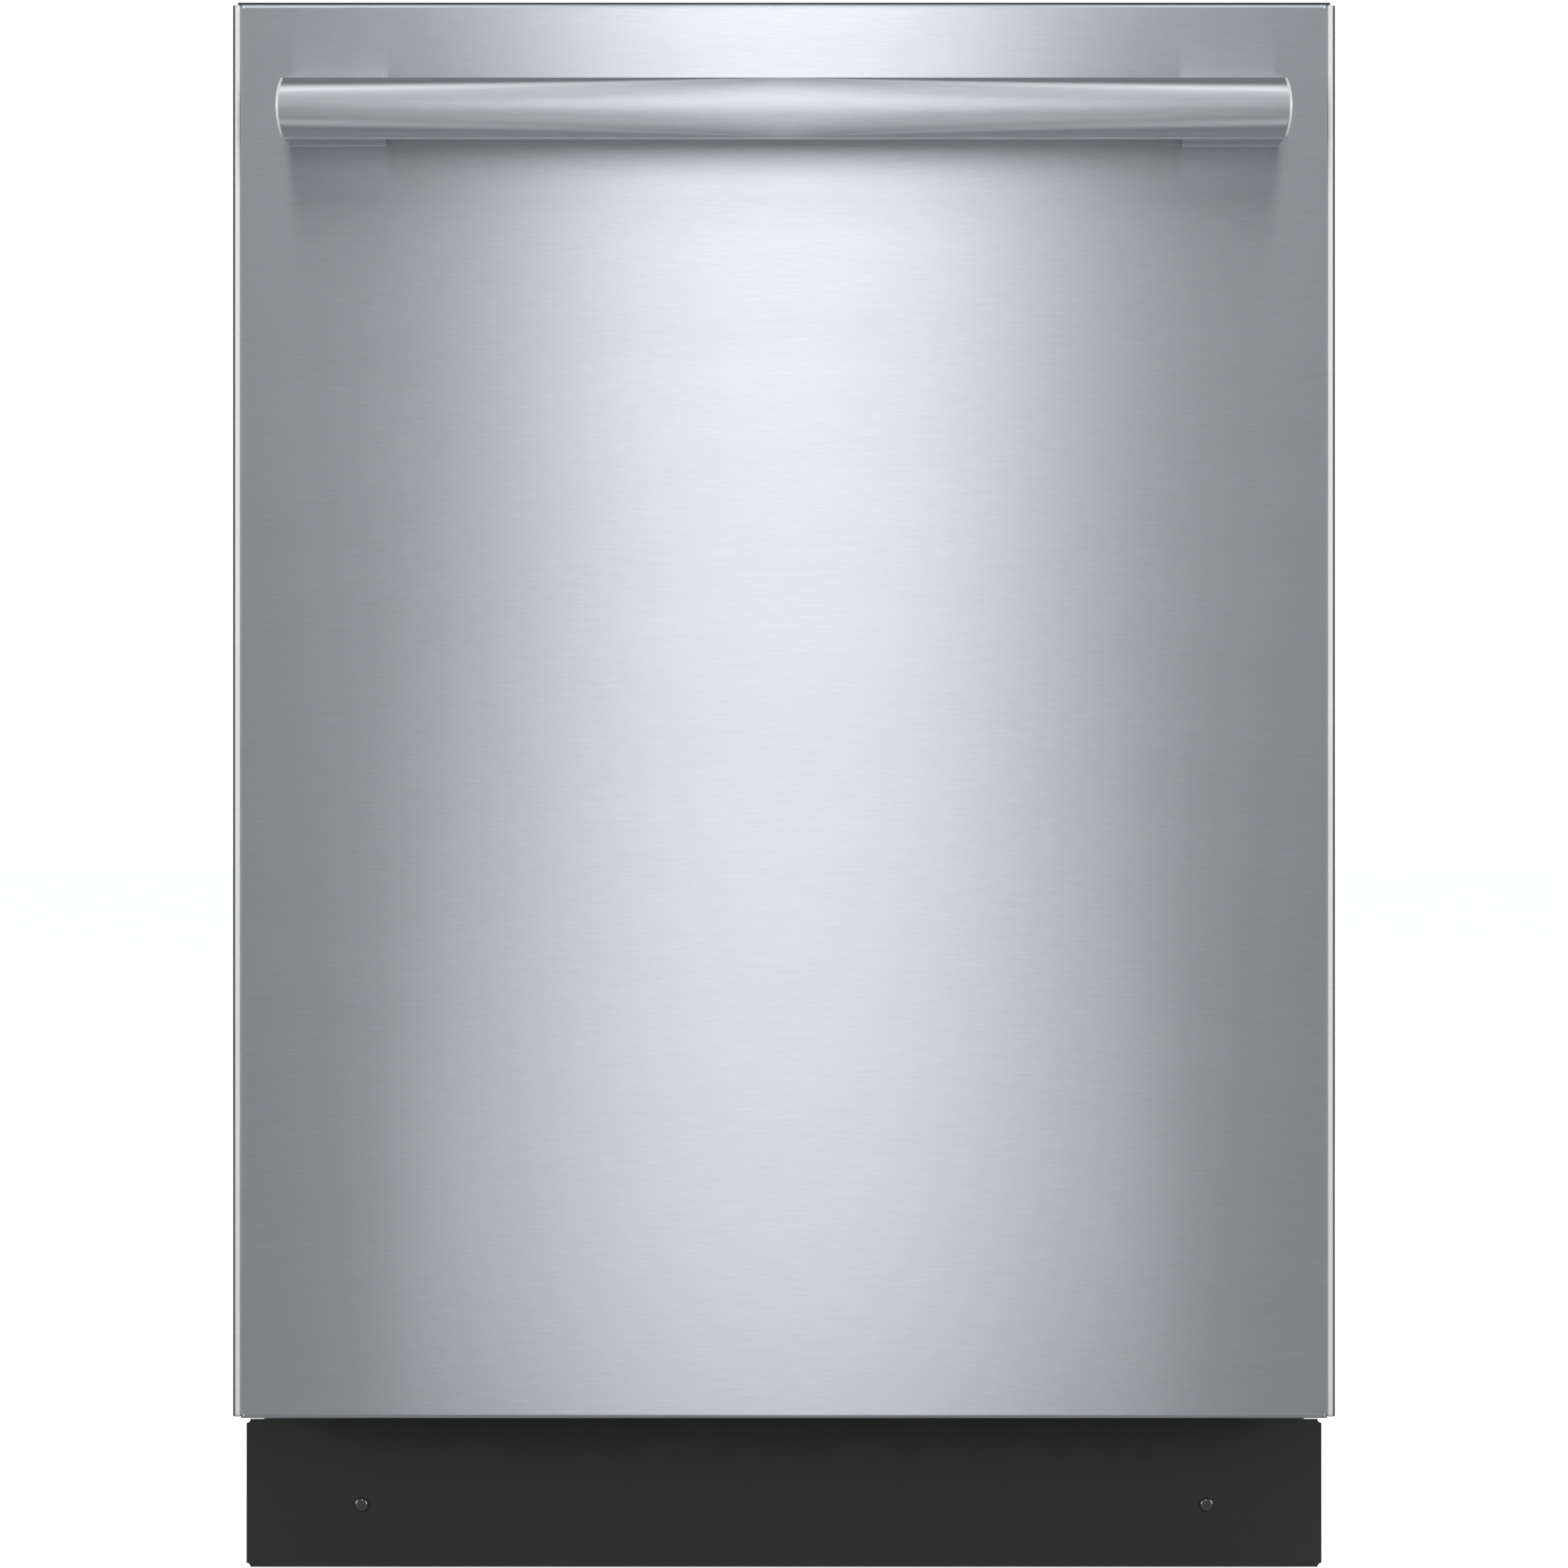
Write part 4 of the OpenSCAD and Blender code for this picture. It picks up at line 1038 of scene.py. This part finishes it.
BEAD_GAP = 0.0002
BEAD_DEPTH = 0.012
CARRIER_SETBACK = 0.0045
CHANNEL_WALL = 0.0009
CHANNEL_SETBACK, CHANNEL_END = 0.0014, 0.008
# Distance in from each end of a strip, and how far its nose slopes back there, of NOSE_DROP.
NOSE_DROP = 0.0019
NOSE_SLOPE = ((0, 1), (0.0004, 0.45), (0.0011, 0.1), (NOSE_DROP, 0))
NOSE_STEPS = 12
PANEL_CORNER = 0.0023
LIP_RISE = 0.00003
LIP_EASE = 0.0004
CAP_RADIUS = 0.065
RIM_WIDTH = 0.0014
RIM_RISE = 0.0004
RIM_STEPS = 24
# Shares of the screw's height and of its radius.
SCREW_SHOULDER = [(0.4, 1.002), (0.62, 1.0), (0.78, 0.95), (0.9, 0.86),
                  (0.98, 0.75), (1.01, 0.62), (0.7, 0.6)]


def nosed_strip(b, inner, outer, low, high, nose, back):
    """An upright strip with a half-round front edge, which slopes back at its top and bottom."""
    radius = abs(outer - inner) / 2
    centre = (inner + outer) / 2
    levels = [(low.z + rise, drop) for rise, drop in NOSE_SLOPE]
    levels += [(high.z - rise, drop) for rise, drop in reversed(NOSE_SLOPE)]
    rings = []
    for z, drop in levels:
        front = nose + radius + NOSE_DROP * drop
        outline = []
        for k in range(NOSE_STEPS + 1):
            angle = math.pi * k / NOSE_STEPS
            outline.append((centre - radius * math.cos(angle), front - radius * math.sin(angle)))
        outline += [(centre + radius, back), (centre - radius, back)]
        rings.append([Vector((x, y, z)) for x, y in outline])
    loft(b, rings)


def build_edge_beads():
    """A bead, near-white as a painted highlight, its black channel, partly a dark gap and partly painted
    shade at the door's outer edge, and the panel's square lip, down each side of the door.
    """
    low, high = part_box("door_edge_trims")
    panel_low, panel_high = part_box("door_panel")
    seat = panel_high.x + BEAD_GAP
    bead_edge = high.x - CHANNEL_WALL

    def beads(b):
        for side in (-1, 1):
            nosed_strip(b, side * seat, side * bead_edge, low, high, low.y, low.y + BEAD_DEPTH)
            nosed_strip(b, side * seat, side * high.x, low, high, low.y + CARRIER_SETBACK, high.y)

    # The black channel is partly a real dark gap and partly painted shade at the door's outer edge.
    def channels(b):
        for side in (-1, 1):
            nosed_strip(b, side * bead_edge, side * high.x, low, high,
                        low.y + CHANNEL_SETBACK, low.y + CHANNEL_END)

    def lips(b):
        front = panel_low.y - LIP_RISE
        for side in (-1, 1):
            edge = side * (panel_high.x + LIP_RISE)
            start = side * (panel_high.x - PANEL_CORNER)
            outline = [(start, front), (edge - side * LIP_EASE, front), (edge, front + LIP_EASE),
                       (edge, front + PANEL_CORNER), (start, front + PANEL_CORNER)]
            loft(b, [[Vector((x, y, z)) for x, y in outline]
                     for z in (panel_low.z + PANEL_CORNER, panel_high.z - PANEL_CORNER)])
    mesh_piece("panel_edge_lips", lips, "brushed_steel", "door")
    mesh_piece("edge_beads", beads, "bright_trim", "door", ["door_edge_trims"])
    mesh_piece("edge_channels", channels, "black_paint", "door")


def build_handle_rims():
    """A thin ridge round the bulged face of each handle end, near-white as a painted highlight on the
    end's edge.
    """
    low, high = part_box("handle_end_caps")
    half = (high.z - low.z) / 2
    sag = (high.y - low.y) / 2
    front_r = (half * half + sag * sag) / (2 * sag)
    back = high.y - RIM_WIDTH

    def rims(b):
        for side in (-1, 1):
            rings = []
            for k in range(RIM_STEPS + 1):
                z = (2 * k / RIM_STEPS - 1) * half * 0.995
                front = low.y + front_r - math.sqrt(front_r * front_r - z * z)
                outer = high.x - CAP_RADIUS + math.sqrt(CAP_RADIUS * CAP_RADIUS - z * z)
                inner, ridge = outer - RIM_WIDTH, outer - RIM_WIDTH * 0.85
                outline = [(inner, front + RIM_RISE), (ridge, front - RIM_RISE), (outer, front),
                           (outer, back), (inner, back)]
                rings.append([Vector((side * x, y, low.z + half + z)) for x, y in outline])
            loft(b, rings)
    mesh_piece("handle_end_rims", rims, "bright_trim", "door")


def build_toe_screw_domes():
    """The rounded shoulder of each toe kick screw."""
    low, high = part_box("toe_kick_screws")
    radius = (high.z - low.z) / 2
    height = high.y - low.y
    profile = [(height * h, radius * r) for h, r in SCREW_SHOULDER]

    def domes(b):
        for side in (-1, 1):
            lathe(b, (side * (high.x - radius), high.y, (low.z + high.z) / 2), -BACK, profile, 40)
    mesh_piece("toe_kick_screw_shoulders", domes, "black_screw", "cabinet")


# ---------- blankets ----------

PILLOW = 0.085
PILLOW_STEPS = 8
DASH, DASH_GAP = 0.007, 0.005
THREAD = 0.0011
TUB_PAD_THIN, TUB_PAD_THICK = 0.0022, 0.0070
DOOR_PAD_THIN = 0.003


def quilt(name, surface, width, length, thin, thick, stands_for, body):
    """A stitched pad. surface(u, v) gives a point of its back and the way out from there."""
    across, along = max(1, round(width / PILLOW)), max(1, round(length / PILLOW))
    nu, nv = across * PILLOW_STEPS, along * PILLOW_STEPS

    def height(i, j):
        crown = abs(math.sin(math.pi * i / PILLOW_STEPS) * math.sin(math.pi * j / PILLOW_STEPS)) ** 0.45
        hem = min(1, min(i, nu - i, j, nv - j) / 2)
        ripple = 0.94 + 0.06 * noise.noise(surface(i / nu, j / nv)[0] * 30)
        return (thin + (thick - thin) * crown * ripple) * (0.35 + 0.65 * hem)

    def shape(b):
        front, back = [], []
        for i in range(nu + 1):
            spots = [surface(i / nu, j / nv) for j in range(nv + 1)]
            front.append([b.verts.new(spot + out * height(i, j)) for j, (spot, out) in enumerate(spots)])
            back.append([b.verts.new(spot) for spot, out in spots])
        for grid in (front, back):
            for i in range(nu):
                for j in range(nv):
                    b.faces.new((grid[i][j], grid[i + 1][j], grid[i + 1][j + 1], grid[i][j + 1]))
        for i in range(nu):
            for j in (0, nv):
                b.faces.new((front[i][j], front[i + 1][j], back[i + 1][j], back[i][j]))
        for j in range(nv):
            for i in (0, nu):
                b.faces.new((front[i][j], front[i][j + 1], back[i][j + 1], back[i][j]))
    mesh_piece(name, shape, "felt", body, stands_for, 60)

    def stitch(u, v, du, dv):
        ends = []
        for t in (0, 1):
            spot, out = surface(u + du * t, v + dv * t)
            ends.append(spot + out * (thin + 0.0002))
        return ends, THREAD, False

    pitch = DASH + DASH_GAP
    stitches = []
    for i in range(1, across):
        for k in range(1, int(length / pitch)):
            stitches.append(stitch(i / across, k * pitch / length, 0, DASH / length))
    for j in range(1, along):
        for k in range(1, int(width / pitch)):
            stitches.append(stitch(k * pitch / width, j / along, DASH / width, 0))
    wires(name + "_stitches", stitches, "grey_plastic", body, facets=2)


def build_blankets():
    """One quilt over the tub's sides and roof, and one inside the door."""
    low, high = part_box("sound_blanket")
    x = high.x - 0.0074
    top = high.z - 0.0081
    path = rounded([(x, 0, low.z), (x, 0, top), (-x, 0, top), (-x, 0, low.z)], 0.030, steps=10)
    reach = [0]
    for p, q in zip(path, path[1:]):
        reach.append(reach[-1] + (q - p).length)

    def over_tub(u, v):
        s = u * reach[-1]
        i = next(k for k in range(len(path) - 1) if reach[k + 1] >= s - 1e-6)
        run = path[i + 1] - path[i]
        spot = path[i].lerp(path[i + 1], min(1, (s - reach[i]) / run.length))
        spot.y = low.y + (high.y - low.y) * v
        run.normalize()
        return spot, Vector((run.z, 0, -run.x))
    quilt("sound_blanket_quilt", over_tub, reach[-1], high.y - low.y, TUB_PAD_THIN, TUB_PAD_THICK,
          ["sound_blanket"], "cabinet")

    d_low, d_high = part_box("door_blanket")
    size = d_high - d_low

    def in_door(u, v):
        return d_low + Vector((size.x * u, 0.0004, size.z * v)), BACK
    quilt("door_blanket_quilt", in_door, size.x, size.z, DOOR_PAD_THIN, size.y - 0.001,
          ["door_blanket"], "door")


MATS, MAT_GAP = 3, 0.016
MAT_MARGIN_Z, MAT_MARGIN_X = 0.05, 0.045
# Share of the mat's half sizes, and how far that loop stands out from the tub.
MAT_LOOPS = ((1, 0.0001), (1, 0.0016), (0.99, 0.0022), (0.94, 0.0024),
             (0.8, 0.0024), (0.6, 0.0024), (0.4, 0.0024), (0.2, 0.0024))


def build_rear_mats():
    """Heavy damping mats bonded to the back of the tub."""
    low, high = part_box("tub")
    height = (high.z - low.z - 2 * MAT_MARGIN_Z - MAT_GAP * (MATS - 1)) / MATS
    half = high.x - MAT_MARGIN_X

    def mats(b):
        for k in range(MATS):
            z = low.z + MAT_MARGIN_Z + height / 2 + k * (height + MAT_GAP)
            rings = []
            for share, proud in MAT_LOOPS:
                loop = ring(Vector((0, high.y, z)), RIGHT, UP, half * share, height / 2 * share, 0.16, 72)
                for spot in loop:
                    wave = noise.noise(spot * 22) * 0.0006 if share < 0.97 else 0
                    spot.y += proud + wave
                rings.append(loop)
            loft(b, rings)
    mesh_piece("rear_damping_mats", mats, "bitumen", "cabinet")


build_edge_beads()
build_handle_rims()
build_toe_screw_domes()
build_racks()
build_silverware_basket()
build_cutlery_tray()
spray_arm("lower_spray_arm", 0.030, 0.0134, True, 5)
spray_arm("upper_spray_arm", 0.024, 0.0114, False, 4)
build_spray_feed()
build_drain_line()
build_pump_details()
build_gasket()
build_springs()
build_fasteners()
build_panel_details()
build_blankets()
build_rear_mats()
